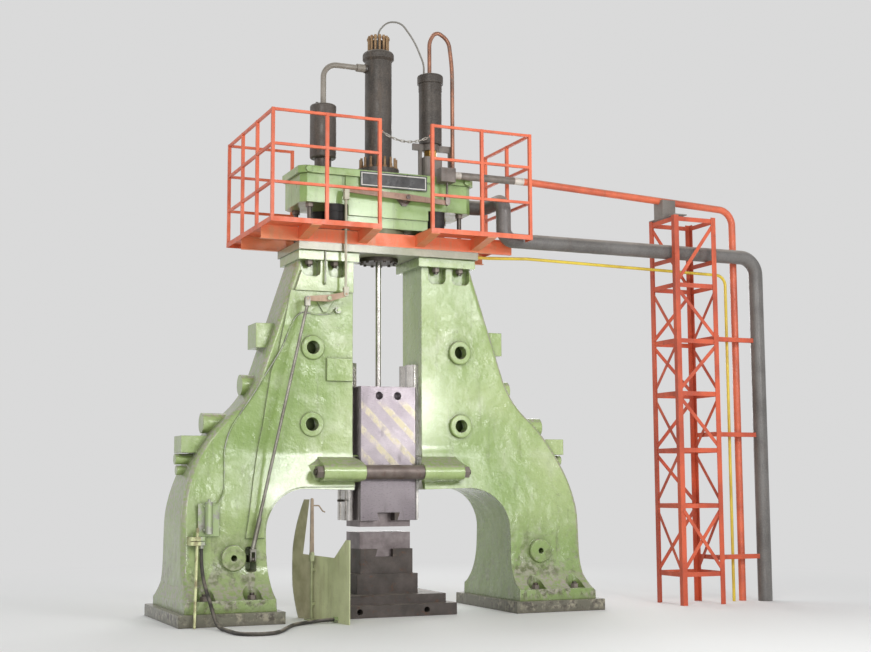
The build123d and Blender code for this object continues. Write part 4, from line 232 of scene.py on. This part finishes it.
def casting(
    name, base, tone, painted_sheen, grime_and_shade, dust, gloss=0.24, streaky=0.6, wavy=1.0, flanks=False
):
    """Thick glossy paint on a rough casting, dented, with smears and runs of grime near the floor
    and dust on its shelves. Painted sheen lies on it in pale clouds and on some edges, and painted
    shade darkens it towards the floor and in inner corners. flanks adds dust on the outer sides of
    the frame and painted shade on its inner ones."""
    r = Recipe(name)
    colour = r.mix(r.step(r.noise(0.7, 3, 0.5), 0.36, 0.66), base, tone)
    # Painted sheen: pale clouds stand in for glossy light on the paint.
    sheen_clouds = r.step(r.noise(2.1, 5, 0.6, warp=0.8), 0.46, 0.74, 0.0, 0.45)
    colour = r.mix(sheen_clouds, colour, painted_sheen)
    dabs = r.step(r.noise(13, 4, 0.6, stretch=(1.3, 1.3, 0.6)), 0.48, 0.76, 0.0, 0.3)
    colour = r.mix(dabs, colour, tone)
    # Painted shade: the paint turns darker towards the floor.
    low = r.step(r.at("Z"), 0.0, 1.5, 0.7, 0.0)
    colour = r.mix(low, colour, r.mix(0.3, tone, grime_and_shade))
    lowest = r.step(r.at("Z"), 0.15, 1.15, 1.0, 0.0)
    smears = r.step(r.noise(4.2, 8, 0.72, warp=0.6), 0.45, 0.57, 0.0, 0.85)
    muck = r.mix(r.step(r.noise(19, 5), 0.4, 0.62), grime_and_shade, dust)
    colour = r.mix(r.both(smears, lowest), colour, muck)
    near_floor = r.step(r.at("Z"), 0.1, 1.3, 1.0, 0.35)
    runs = r.step(r.noise(5.5, 6, 0.62, stretch=(2.4, 2.4, 0.2)), 0.54, 0.76, 0.0, streaky)
    colour = r.mix(r.both(runs, near_floor), colour, grime_and_shade)
    spots = r.step(r.noise(17, 7, 0.7), 0.6, 0.68, 0.0, streaky)
    colour = r.mix(r.both(spots, near_floor), colour, grime_and_shade)
    if flanks:
        # Painted shade on the faces turned to the ram, darker low down.
        inner = r.step(r.outward(), -0.5, -0.12, 0.6, 0.0)
        inner_shade = r.both(inner, r.step(r.at("Z"), 0.9, 2.0, 1.0, 0.4))
        colour = r.mix(inner_shade, colour, r.mix(0.4, tone, grime_and_shade))
    chips = r.step(r.noise(31, 6, 0.6), 0.705, 0.73, 0.0, 0.85)
    colour = r.mix(chips, colour, r.mix(0.5, grime_and_shade, CHIPPED))
    # Grime and painted shade in inner corners.
    grime_and_shade_corner = r.both(r.corner_grime_and_shade(0.07), r.step(r.noise(10, 5, 0.6), 0.25, 0.6, 0.55, 0.95))
    colour = r.mix(grime_and_shade_corner, colour, r.mix(0.45, tone, grime_and_shade))
    # Edges in patches: partly a painted highlight in the sheen colour, partly grime from wear.
    rim = r.both(r.edges(0.022), r.step(r.noise(14, 5, 0.7), 0.42, 0.62, 0.1, 0.7))
    worn = r.mix(r.step(r.noise(24, 5, 0.7), 0.52, 0.6), painted_sheen, grime_and_shade)
    colour = r.mix(r.but(rim, grime_and_shade_corner), colour, worn)
    layer = r.both(r.shelf(flanks), r.step(r.noise(4.2, 6, 0.62), 0.24, 0.5, 0.72, 1.0))
    settled = r.mix(r.step(r.noise(26, 5), 0.35, 0.7), dust, tone)
    colour = r.mix(r.both(layer, 0.9), colour, settled)
    rough = r.step(r.noise(6, 5, 0.6), 0.3, 0.7, gloss - 0.06, gloss + 0.12)
    r.set(
        Base_Color=colour,
        Roughness=r.math("ADD", rough, r.both(layer, 0.42)),
        Coat_Weight=0.6,
        Coat_Roughness=0.14,
    )
    r.rounded(0.016)
    r.bump(r.noise(2.3, 2, 0.5), 0.6 * wavy, 0.07)
    r.bump(r.noise(8, 3, 0.55), 0.6 * wavy, 0.02)
    r.bump(r.noise(42, 4, 0.6), 0.4 * wavy, 0.003)
    r.bump(r.noise(260, 2), 0.12, 0.0008)
    r.colour = colour
    return r


def paint(
    name, base, tone, under, dust, worn, streaky, dusty=0.6, gloss=0.45, edge=0.01, fine=1.0
):
    """Shop paint over metal: two tones, runs of grime, dust on top faces, worn edges and chips."""
    r = Recipe(name)
    colour = r.mix(r.step(r.noise(1.6 * fine, 3), 0.35, 0.68), base, tone)
    runs = r.noise(4.0 * fine, 6, 0.6, stretch=(1.8, 1.8, 0.35))
    colour = r.mix(r.step(runs, 0.5, 0.78, 0.0, streaky), colour, r.mix(0.55, tone, under))
    stains = r.noise(8.0 * fine, 5, 0.65, warp=0.6)
    colour = r.mix(r.step(stains, 0.58, 0.76, 0.0, 0.5 * streaky), colour, under)
    colour = r.mix(r.step(r.noise(70, 3), 0.3, 0.75, 0.0, 0.16), colour, dust)
    layer = r.both(r.facing_up(), r.step(r.noise(6, 5, 0.6), 0.2, 0.62, 0.35, 1.0))
    colour = r.mix(r.both(layer, dusty), colour, dust)
    rubbed = r.both(r.edges(edge), r.step(r.noise(18, 5, 0.7), 0.42, 0.62, 0.0, worn))
    chips = r.step(r.noise(30, 7, 0.62), 0.68, 0.72, 0.0, worn)
    colour = r.mix(r.either(rubbed, chips), colour, under)
    rough = r.step(r.noise(9, 4), 0.3, 0.7, gloss - 0.08, gloss + 0.14)
    r.set(Base_Color=colour, Roughness=r.math("ADD", rough, r.both(layer, 0.3)))
    r.bump(chips, 0.25, -0.0006)
    r.bump(r.noise(38, 4, 0.6), 0.25, 0.002)
    r.bump(r.noise(240, 2), 0.12, 0.001)
    r.colour = colour
    return r


def metal(
    name, base, tone, rust, rough, rusty=0.3, scratch=0.4, metallic=0.9, oil=0.3, grain=NO_GRAIN
):
    """Bare steel or iron: uneven sheen, fine scratches along the grain, rust and oil stains."""
    r = Recipe(name)
    colour = r.mix(r.step(r.noise(5, 5, 0.6), 0.3, 0.7), base, tone)
    lines = r.noise(90, 3, 0.6, stretch=grain)
    colour = r.mix(r.step(lines, 0.35, 0.75, 0.0, 0.5 * scratch), colour, tone)
    spots = r.step(
        r.noise(11, 7, 0.68),
        0.62 - 0.22 * rusty, 0.76 - 0.12 * rusty, 0.0, min(1.0, 2 * rusty),
    )
    rusts = r.mix(r.step(r.noise(40, 3), 0.3, 0.7), rust, r.mix(0.5, rust, tone))
    colour = r.mix(spots, colour, rusts)
    stain = r.step(r.noise(3.4, 4, 0.6), 0.55, 0.75, 0.0, oil)
    colour = r.mix(stain, colour, r.mix(0.8, tone, BLACK_OIL))
    layer = r.both(r.facing_up(0.6, 0.95), r.step(r.noise(7, 5), 0.3, 0.65, 0.1, 0.6))
    colour = r.mix(layer, colour, GREY_DUST)
    sheen = r.step(lines, 0.2, 0.8, rough - 0.06, rough + 0.1)
    r.set(
        Base_Color=colour,
        Metallic=r.step(r.either(spots, layer), 0.1, 0.8, metallic, 0.1),
        Roughness=r.math("ADD", sheen, r.both(spots, 0.35)),
    )
    r.rounded(0.003)
    r.bump(lines, 0.12 * scratch, 0.0006)
    r.bump(r.noise(36, 5, 0.65), 0.2, 0.001)
    r.colour = colour
    return r


def ram_look():
    """Ground steel: bright sheen, worn slanting stripes on the front above the dovetail, and
    painted shade on its lower part.
    """
    striped_from, striped_to = 1.5, 2.14
    half_pitch, stripe_start, stripe_full = 0.122, 0.072, 0.084
    always_positive = 10.0
    r = Recipe("ram_paint")
    colour = r.mix(r.step(r.noise(2.4, 4), 0.35, 0.7), rgb(152, 144, 148), rgb(120, 112, 117))
    lines = r.noise(60, 4, 0.62, stretch=(0.4, 2.0, 3.0))
    colour = r.mix(r.step(lines, 0.35, 0.75, 0.0, 0.4), colour, rgb(98, 91, 95))
    slant = r.math("ADD", r.at("X"), r.at("Z"), clamp=False)
    slant = r.math("ADD", slant, always_positive, clamp=False)
    wave = r.math("PINGPONG", slant, half_pitch, clamp=False)
    height = r.band("Z", striped_from, striped_to, 0.05)
    stripe = r.both(r.step(wave, stripe_start, stripe_full), height)
    front = r.step(r.turned("Y"), -0.9, -0.7, 1.0, 0.0)
    kept = r.step(r.noise(11, 7, 0.7, stretch=(1, 1, 0.8)), 0.42, 0.58, 0.06, 0.58)
    faded = r.both(r.both(stripe, front), kept)
    colour = r.mix(faded, colour, rgb(214, 204, 158))
    # Painted shade: the ram is darker below its upper part.
    colour = r.mix(r.step(r.at("Z"), 1.2, 1.5, 0.45, 0.0), colour, rgb(100, 93, 95))
    scuffs = r.step(r.noise(14, 6, 0.65, stretch=(1, 1, 0.25)), 0.56, 0.74, 0.0, 0.55)
    colour = r.mix(scuffs, colour, rgb(92, 86, 86))
    rim = r.both(r.edges(0.01), r.step(r.noise(10, 4), 0.3, 0.6, 0.2, 0.8))
    colour = r.mix(rim, colour, rgb(206, 200, 200))
    top = r.both(r.facing_up(0.6, 0.9), r.step(r.noise(7, 5), 0.3, 0.6, 0.4, 0.9))
    colour = r.mix(top, colour, MAUVE_DUST)
    r.set(
        Base_Color=colour,
        Metallic=r.step(r.either(faded, top), 0.05, 0.6, 0.62, 0.15),
        Roughness=r.math("ADD", r.step(lines, 0.25, 0.75, 0.24, 0.36), r.both(scuffs, 0.2)),
    )
    r.rounded(0.008)
    r.bump(lines, 0.12, 0.0006)
    r.bump(r.noise(20, 4, 0.6), 0.15, 0.0015)
    return r


def rubber_look(name, base, tone):
    """Black rubber with dust on its upper side and a fine pressed grain."""
    r = Recipe(name)
    colour = r.mix(r.step(r.noise(6, 5), 0.35, 0.7), base, tone)
    layer = r.both(r.facing_up(0.2, 0.9), r.step(r.noise(9, 5), 0.3, 0.65))
    r.set(Base_Color=r.mix(r.both(layer, 0.7), colour, GREY_DUST), Roughness=0.58)
    r.bump(r.noise(160, 3), 0.3, 0.001)
    return r


def plate_look():
    """Black enamelled plate with a pale border line, scuffed and dusty."""
    border_from, border_to = 0.012, 0.022
    r = Recipe("plate")
    low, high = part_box("nameplate")

    def inside(margin):
        return r.both(
            r.band("X", low.x + margin, high.x - margin),
            r.band("Z", low.z + margin, high.z - margin),
        )

    colour = r.mix(r.step(r.noise(9, 5), 0.35, 0.7), rgb(24, 24, 26), rgb(40, 40, 40))
    border = r.but(inside(border_from), inside(border_to))
    kept = r.step(r.noise(60, 5, 0.7), 0.3, 0.45, 0.3, 0.95)
    colour = r.mix(r.both(border, kept), colour, rgb(214, 214, 206))
    scuffs = r.step(r.noise(40, 6, 0.7, stretch=(1, 1, 4)), 0.6, 0.75, 0.0, 0.35)
    r.set(
        Base_Color=r.mix(scuffs, colour, rgb(120, 116, 106)),
        Roughness=r.step(r.noise(20), 0.3, 0.7, 0.26, 0.45),
    )
    r.bump(r.noise(120, 3), 0.1, 0.0008)
    return r


def pressure_look():
    """Orange pipe whose first stretch is bare grey, with pale unions."""
    bare_from, bare_to = -1.0, 1.42
    first_union, second_union = (0.68, 0.78), (1.42, 1.53)
    r = paint(
        "pressure_paint", rgb(226, 108, 70), rgb(190, 84, 56), rgb(100, 72, 58),
        rgb(190, 160, 140), dusty=0.7, worn=0.5, streaky=0.5, gloss=0.42, fine=2.0,
    )
    grey = r.mix(r.step(r.noise(8, 5), 0.35, 0.7), rgb(140, 134, 126), rgb(112, 106, 98))
    pale = r.mix(r.step(r.noise(14, 5), 0.4, 0.7), rgb(214, 210, 200), rgb(170, 162, 150))
    top = r.step(r.at("Z"), 4.3, 4.32)
    colour = r.mix(r.both(r.band("X", bare_from, bare_to), top), r.colour, grey)
    unions = r.either(r.band("X", *first_union), r.band("X", *second_union))
    return r.set(Base_Color=r.mix(r.both(unions, top), colour, pale))


def fitting_look():
    """Zinc-grey fittings with green overspray, and a pole painted cream."""
    pole_x, pole_z = (-2.2, -2.005), (-0.1, 0.95)
    r = metal(
        "fitting_steel", rgb(178, 180, 168), rgb(126, 126, 114), rgb(110, 92, 66),
        rusty=0.25, rough=0.4, metallic=0.5,
    )
    spray = r.step(r.noise(9, 5, 0.6), 0.42, 0.56, 0.0, 0.8)
    colour = r.mix(spray, r.colour, rgb(156, 176, 122))
    pole = r.both(r.band("X", *pole_x), r.band("Z", *pole_z))
    cream = r.mix(r.step(r.noise(12, 6), 0.4, 0.62), rgb(196, 200, 152), rgb(140, 132, 100))
    return r.set(Base_Color=r.mix(pole, colour, cream))


def bracket_look():
    """Frame paint below, blackened grease and iron on the bracket at the head."""
    head_z = (4.0, 5.0)
    r = casting(
        "bracket_paint", rgb(168, 184, 126), rgb(138, 158, 96), rgb(190, 198, 170),
        rgb(84, 78, 60), MAUVE_DUST, wavy=0.3,
    )
    iron = r.mix(r.step(r.noise(16, 6), 0.35, 0.7), rgb(104, 86, 76), rgb(66, 56, 50))
    return r.set(Base_Color=r.mix(r.band("Z", *head_z), r.colour, iron))


def guard_look():
    """Pale green sheet; its bowed left part is browner."""
    bowed_until, flat_from = -0.88, -0.80
    r = paint(
        "guard_paint", rgb(208, 214, 168), rgb(186, 192, 146), rgb(124, 104, 84), MAUVE_DUST,
        worn=0.7, streaky=0.55, gloss=0.5, edge=0.004, fine=1.5,
    )
    brown = r.mix(r.step(r.noise(7, 6), 0.35, 0.7), rgb(186, 176, 152), rgb(150, 138, 116))
    fade = r.step(r.at("X"), bowed_until, flat_from, 0.75, 0.0)
    return r.set(Base_Color=r.mix(fade, r.colour, brown))


# The look of each material slot, under the slot's name.
looks = {
    look.name: look
    for look in (
        casting(
            "column_paint", rgb(172, 190, 128), rgb(138, 164, 92), rgb(200, 208, 176),
            rgb(78, 72, 52), MAUVE_DUST, streaky=0.8, flanks=True,
        ),
        casting(
            "head_paint", rgb(158, 188, 116), rgb(134, 168, 94), rgb(188, 204, 152),
            rgb(78, 78, 54), rgb(128, 122, 100), gloss=0.32, streaky=1.0, wavy=0.5,
        ),
        casting(
            "slab_paint", rgb(150, 152, 118), rgb(132, 132, 108), rgb(166, 160, 140),
            rgb(84, 74, 60), MAUVE_DUST, gloss=0.55, streaky=0.8, wavy=0.6,
        ),
        casting(
            "sole_steel", rgb(128, 128, 108), rgb(104, 102, 86), rgb(156, 152, 132),
            rgb(62, 54, 46), rgb(158, 152, 132), gloss=0.6, streaky=0.8, wavy=0.8,
        ),
        metal(
            "anvil_iron", rgb(88, 80, 76), rgb(66, 60, 56), RUST,
            rough=0.6, metallic=0.3, oil=0.5,
        ),
        metal("dark_steel", rgb(104, 98, 92), rgb(72, 66, 62), RUST, rusty=0.25, rough=0.45),
        metal(
            "bright_steel", rgb(206, 202, 198), rgb(168, 164, 160), rgb(136, 118, 98),
            rusty=0.02, rough=0.24, oil=0.08, scratch=0.9, grain=UPRIGHT,
        ),
        metal(
            "die_steel", rgb(134, 126, 126), rgb(98, 90, 90), rgb(92, 72, 58),
            rusty=0.2, rough=0.4, grain=ACROSS,
        ),
        metal(
            "tie_steel", rgb(132, 120, 114), rgb(96, 84, 78), rgb(96, 70, 54),
            rusty=0.35, rough=0.42, metallic=0.35, grain=ACROSS,
        ),
        metal(
            "rod_steel", rgb(150, 148, 138), rgb(112, 108, 98), RUST,
            rusty=0.15, rough=0.34, metallic=0.7, grain=UPRIGHT,
        ),
        metal(
            "bronze", rgb(176, 136, 76), rgb(146, 108, 58), rgb(96, 74, 44),
            rusty=0.1, rough=0.3,
        ),
        metal(
            "rusty_steel", rgb(142, 132, 124), rgb(100, 92, 86), RUST,
            rusty=0.2, rough=0.5, metallic=0.5,
        ),
        metal(
            "brass", rgb(196, 160, 92), rgb(160, 124, 66), rgb(96, 84, 54),
            rusty=0.15, rough=0.3,
        ),
        metal(
            "copper", rgb(172, 124, 102), rgb(134, 98, 82), rgb(130, 118, 108),
            rusty=0.5, rough=0.44,
        ),
        metal("chain_steel", rgb(170, 166, 158), rgb(126, 122, 114), RUST, rough=0.36),
        paint(
            "accumulator_steel", rgb(70, 63, 57), rgb(48, 43, 39), rgb(108, 92, 78),
            rgb(150, 142, 130), dusty=0.8, worn=0.5, streaky=0.9, gloss=0.42, fine=2.0,
        ),
        paint(
            "orange_paint", rgb(232, 108, 66), rgb(208, 88, 50), rgb(132, 90, 70),
            rgb(190, 150, 126), dusty=0.8, worn=0.8, streaky=0.55, gloss=0.4, edge=0.004,
            fine=1.6,
        ),
        paint(
            "grey_steel", rgb(128, 122, 116), rgb(100, 94, 88), rgb(96, 70, 54), MAUVE_DUST,
            dusty=0.7, worn=0.6, streaky=0.6, gloss=0.5, fine=2.0,
        ),
        paint(
            "white_paint", rgb(206, 204, 184), rgb(180, 180, 154), rgb(124, 104, 78),
            GREY_DUST, dusty=0.4, worn=0.6, streaky=0.6, gloss=0.42, fine=3.0,
        ),
        paint(
            "primer", rgb(188, 160, 132), rgb(166, 136, 112), rgb(104, 84, 70), MAUVE_DUST,
            worn=0.8, streaky=0.6, gloss=0.48, edge=0.004, fine=3.0,
        ),
        paint(
            "tower_paint", rgb(214, 92, 56), rgb(180, 70, 44), rgb(92, 60, 46),
            rgb(160, 128, 106), worn=0.6, streaky=0.6, gloss=0.46, edge=0.004, fine=1.6,
        ),
        paint(
            "return_paint", rgb(106, 104, 102), rgb(82, 80, 78), rgb(80, 66, 56),
            rgb(172, 164, 154), dusty=0.95, worn=0.45, streaky=0.5, gloss=0.36, fine=1.5,
        ),
        paint(
            "yellow_paint", rgb(230, 204, 60), rgb(204, 174, 46), rgb(116, 98, 56),
            GREY_DUST, dusty=0.5, worn=0.4, streaky=0.4, gloss=0.36, fine=2.0,
        ),
        rubber_look("rubber", rgb(30, 30, 30), rgb(54, 50, 48)),
        rubber_look("hose_rubber", rgb(44, 42, 38), rgb(70, 66, 58)),
        guard_look(),
        ram_look(),
        plate_look(),
        pressure_look(),
        fitting_look(),
    )
}

# Nodes whose finish differs from that of the others in their slot.
own_look = {
    "deck_frame": paint(
        "faded_orange", rgb(240, 116, 72), rgb(222, 138, 94), rgb(176, 148, 110),
        rgb(196, 172, 140), dusty=0.9, worn=0.9, streaky=0.8, gloss=0.42, edge=0.006, fine=1.4,
    ),
    "cylinder_block": casting(
        "crown_paint", rgb(148, 150, 118), rgb(126, 130, 96), rgb(172, 160, 140),
        rgb(92, 78, 62), MAUVE_DUST, gloss=0.55, streaky=0.9, wavy=0.7,
    ).set(Coat_Weight=0.1),
    "linkage_brackets": bracket_look(),
    "lever_post": paint(
        "post_paint", rgb(176, 184, 140), rgb(150, 156, 116), rgb(110, 92, 72), MAUVE_DUST,
        worn=0.7, streaky=0.7, edge=0.004, fine=3.0,
    ),
    "head_lever": paint(
        "greasy_primer", rgb(168, 132, 110), rgb(140, 106, 88), rgb(84, 66, 56), MAUVE_DUST,
        worn=0.8, streaky=0.9, edge=0.004, fine=3.0,
    ),
    "gas_cylinder_studs": metal(
        "stud_steel", rgb(160, 132, 98), rgb(122, 96, 70), RUST,
        rusty=0.45, rough=0.5, metallic=0.5,
    ),
    "hand_lever": paint(
        "lever_paint", rgb(160, 142, 118), rgb(128, 110, 90), rgb(92, 76, 62), MAUVE_DUST,
        worn=0.8, streaky=0.8, edge=0.003, fine=4.0,
    ),
    "gauge_pipe": paint(
        "gauge_paint", rgb(138, 136, 130), rgb(112, 110, 104), rgb(96, 84, 72), MAUVE_DUST,
        worn=0.3, streaky=0.3, gloss=0.4, edge=0.002,
    ),
    "spool_rod": metal(
        "spool_steel", rgb(130, 122, 116), rgb(92, 86, 80), RUST, rusty=0.2, rough=0.4,
    ),
    "transfer_pipe": paint(
        "transfer_paint", rgb(152, 146, 136), rgb(124, 118, 108), rgb(96, 74, 58), MAUVE_DUST,
        dusty=0.8, worn=0.6, streaky=0.6, fine=2.0,
    ),
}
slot_of = {row["node"]: row["material_slot"] for row in frame["record"]["subparts"]}
for name, node in nodes.items():
    look = own_look.get(name) or looks[slot_of[name]]
    node.data.materials.clear()
    node.data.materials.append(look.material)


# The hose's route, from the socket on the left column down to the floor and to the guard plate.
hose_route = (
    (-1.985, -0.478, 0.7147),
    (-1.985, -0.478, 0.61),
    (-1.982, -0.507, 0.51),
    (-1.978, -0.562, 0.41),
    (-1.97, -0.652, 0.315),
    (-1.962, -0.757, 0.225),
    (-1.955, -0.852, 0.125),
    (-1.95, -0.952, 0.048),
    (-1.946, -1.072, 0.019),
    (-1.936, -1.222, 0.0185),
    (-1.93, -1.395, 0.018),
    (-1.925, -1.541, 0.0185),
    (-1.876, -1.63, 0.018),
    (-1.79, -1.686, 0.0185),
    (-1.689, -1.693, 0.018),
    (-1.596, -1.651, 0.0185),
    (-1.505, -1.53, 0.018),
    (-1.415, -1.36, 0.0185),
    (-1.325, -1.185, 0.018),
    (-1.235, -1.035, 0.0185),
    (-1.115, -0.93, 0.019),
    (-0.985, -0.882, 0.024),
    (-0.87, -0.879, 0.033),
    (-0.7851, -0.8696, 0.033),
)
hose_radius = 0.0175
curve = bpy.data.curves.new("hose_run", "CURVE")
curve.dimensions = "3D"
curve.bevel_depth = hose_radius
curve.bevel_resolution = 5
curve.resolution_u = 10
curve.use_fill_caps = True
spline = curve.splines.new("NURBS")
spline.points.add(len(hose_route) - 1)
for point, place in zip(spline.points, hose_route):
    point.co = (*place, 1.0)
spline.order_u = 3
spline.use_endpoint_u = True
hose = bpy.data.objects.new("hose_run", curve)
bpy.context.scene.collection.objects.link(hose)
curve.materials.append(looks["hose_rubber"].material)
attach(hose, "frame")
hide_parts("floor_hose")

AMBIENT = (0.29, 0.30, 0.31, 1)
BACKDROP = (0.70, 0.70, 0.70, 1)
FLOOR_HALF = 200
FLOOR_LEVEL = -0.001
PLAIN_FLOOR, FLOOR_GONE = 3.2, 9.5


def floor_look():
    """Pale matt floor that runs into the backdrop's tone some way from the object."""
    r = Recipe("studio_floor").set(Base_Color=(0.86, 0.86, 0.85, 1), Roughness=0.85)
    away = r.nodes.new("ShaderNodeVectorMath")
    away.operation = "LENGTH"
    r.feed(away.inputs[0], r.place)
    glow = r.nodes.new("ShaderNodeEmission")
    glow.inputs["Color"].default_value = BACKDROP
    blend = r.nodes.new("ShaderNodeMixShader")
    r.feed(blend.inputs[0], r.step(away.outputs["Value"], PLAIN_FLOOR, FLOOR_GONE))
    r.feed(blend.inputs[1], r.shader.outputs["BSDF"])
    r.feed(blend.inputs[2], glow.outputs["Emission"])
    r.feed(r.nodes["Material Output"].inputs["Surface"], blend.outputs["Shader"])
    return r


corners = [
    (FLOOR_HALF * x, FLOOR_HALF * y, FLOOR_LEVEL) for x, y in ((-1, -1), (1, -1), (1, 1), (-1, 1))
]
plane = bpy.data.meshes.new("studio_floor")
plane.from_pydata(corners, [], [(0, 1, 2, 3)])
plane.materials.append(floor_look().material)
floor = bpy.data.objects.new("studio_floor", plane)
bpy.context.scene.collection.objects.link(floor)

# The world lights with AMBIENT, and is seen and mirrored as BACKDROP.
world = bpy.data.worlds.new("studio")
world.use_nodes = True
bpy.context.scene.world = world
sky_nodes, sky_links = world.node_tree.nodes, world.node_tree.links
paths = sky_nodes.new("ShaderNodeLightPath")
seen = sky_nodes.new("ShaderNodeMath")
seen.operation = "MAXIMUM"
sky_links.new(paths.outputs["Is Camera Ray"], seen.inputs[0])
sky_links.new(paths.outputs["Is Glossy Ray"], seen.inputs[1])
shown = sky_nodes.new("ShaderNodeMix")
shown.data_type = "RGBA"
sky_links.new(seen.outputs["Value"], shown.inputs[MIX_SHARE])
shown.inputs[MIX_UNDER].default_value = AMBIENT
shown.inputs[MIX_OVER].default_value = BACKDROP
sky_links.new(shown.outputs[MIX_RESULT], sky_nodes["Background"].inputs["Color"])


def soft_box(name, place, target, size, power, tint=(1, 1, 1)):
    """A rectangular lamp at place that looks at target."""
    lamp = bpy.data.lights.new(name, "AREA")
    lamp.shape = "RECTANGLE"
    lamp.size, lamp.size_y = size
    lamp.energy = power
    lamp.color = tint
    holder = bpy.data.objects.new(name, lamp)
    bpy.context.scene.collection.objects.link(holder)
    holder.location = place
    aim = Vector(target) - Vector(place)
    holder.rotation_euler = aim.to_track_quat("-Z", "Y").to_euler()


soft_box("key", (-8, -13, 8), (0, 0, 2.6), (5, 5), 600, (1.0, 0.98, 0.95))
soft_box("sheen_left", (2.3, -8.8, 5.4), (-0.4, 0, 1.5), (1.8, 1.5), 190)
soft_box("sheen_right", (4.5, -8.8, 5.0), (0.6, 0, 1.5), (1.6, 1.4), 60)
soft_box("glint", (4.1, -9.6, 2.7), (0.1, 0, 1.9), (0.9, 0.9), 110)
soft_box("low", (-3.5, -13, 0.8), (0, 0, 3.8), (3, 3), 300)
soft_box("fill", (13, -9, 6), (1, 0, 2.5), (7, 7), 110, (0.95, 0.97, 1.0))
soft_box("top", (0, 6, 13), (0, 0, 3), (7, 7), 460)
soft_box("rear", (7, 13, 6), (0, 0, 2.5), (7, 7), 620)
soft_box("rear_side", (-13, 7, 5), (0, 0, 2.5), (6, 6), 260)

# The camera stands where the photo was taken. Its heading is measured from Y towards X.
eye = Vector((-5.211, -13.592, 1.294))
heading, pitch, roll = (math.radians(angle) for angle in (23.37, 6.62, -0.24))
level_right = Vector((math.cos(heading), -math.sin(heading), 0))
level_ahead = Vector((math.sin(heading), math.cos(heading), 0))
ahead = level_ahead * math.cos(pitch) + Vector((0, 0, math.sin(pitch)))
upright = Vector((0, 0, math.cos(pitch))) - level_ahead * math.sin(pitch)
right = level_right * math.cos(roll) + upright * math.sin(roll)
up = upright * math.cos(roll) - level_right * math.sin(roll)
camera = bpy.data.cameras.new("camera")
camera.sensor_width = 36
camera.lens = 57.1
camera.clip_end = 400
viewer = bpy.data.objects.new("camera", camera)
bpy.context.scene.collection.objects.link(viewer)
viewer.matrix_world = (
    Matrix.Translation(eye) @ Matrix((right, up, -ahead)).transposed().to_4x4()
)
bpy.context.scene.camera = viewer
bpy.context.scene.view_settings.view_transform = "Standard"

bpy.context.view_layer.update()
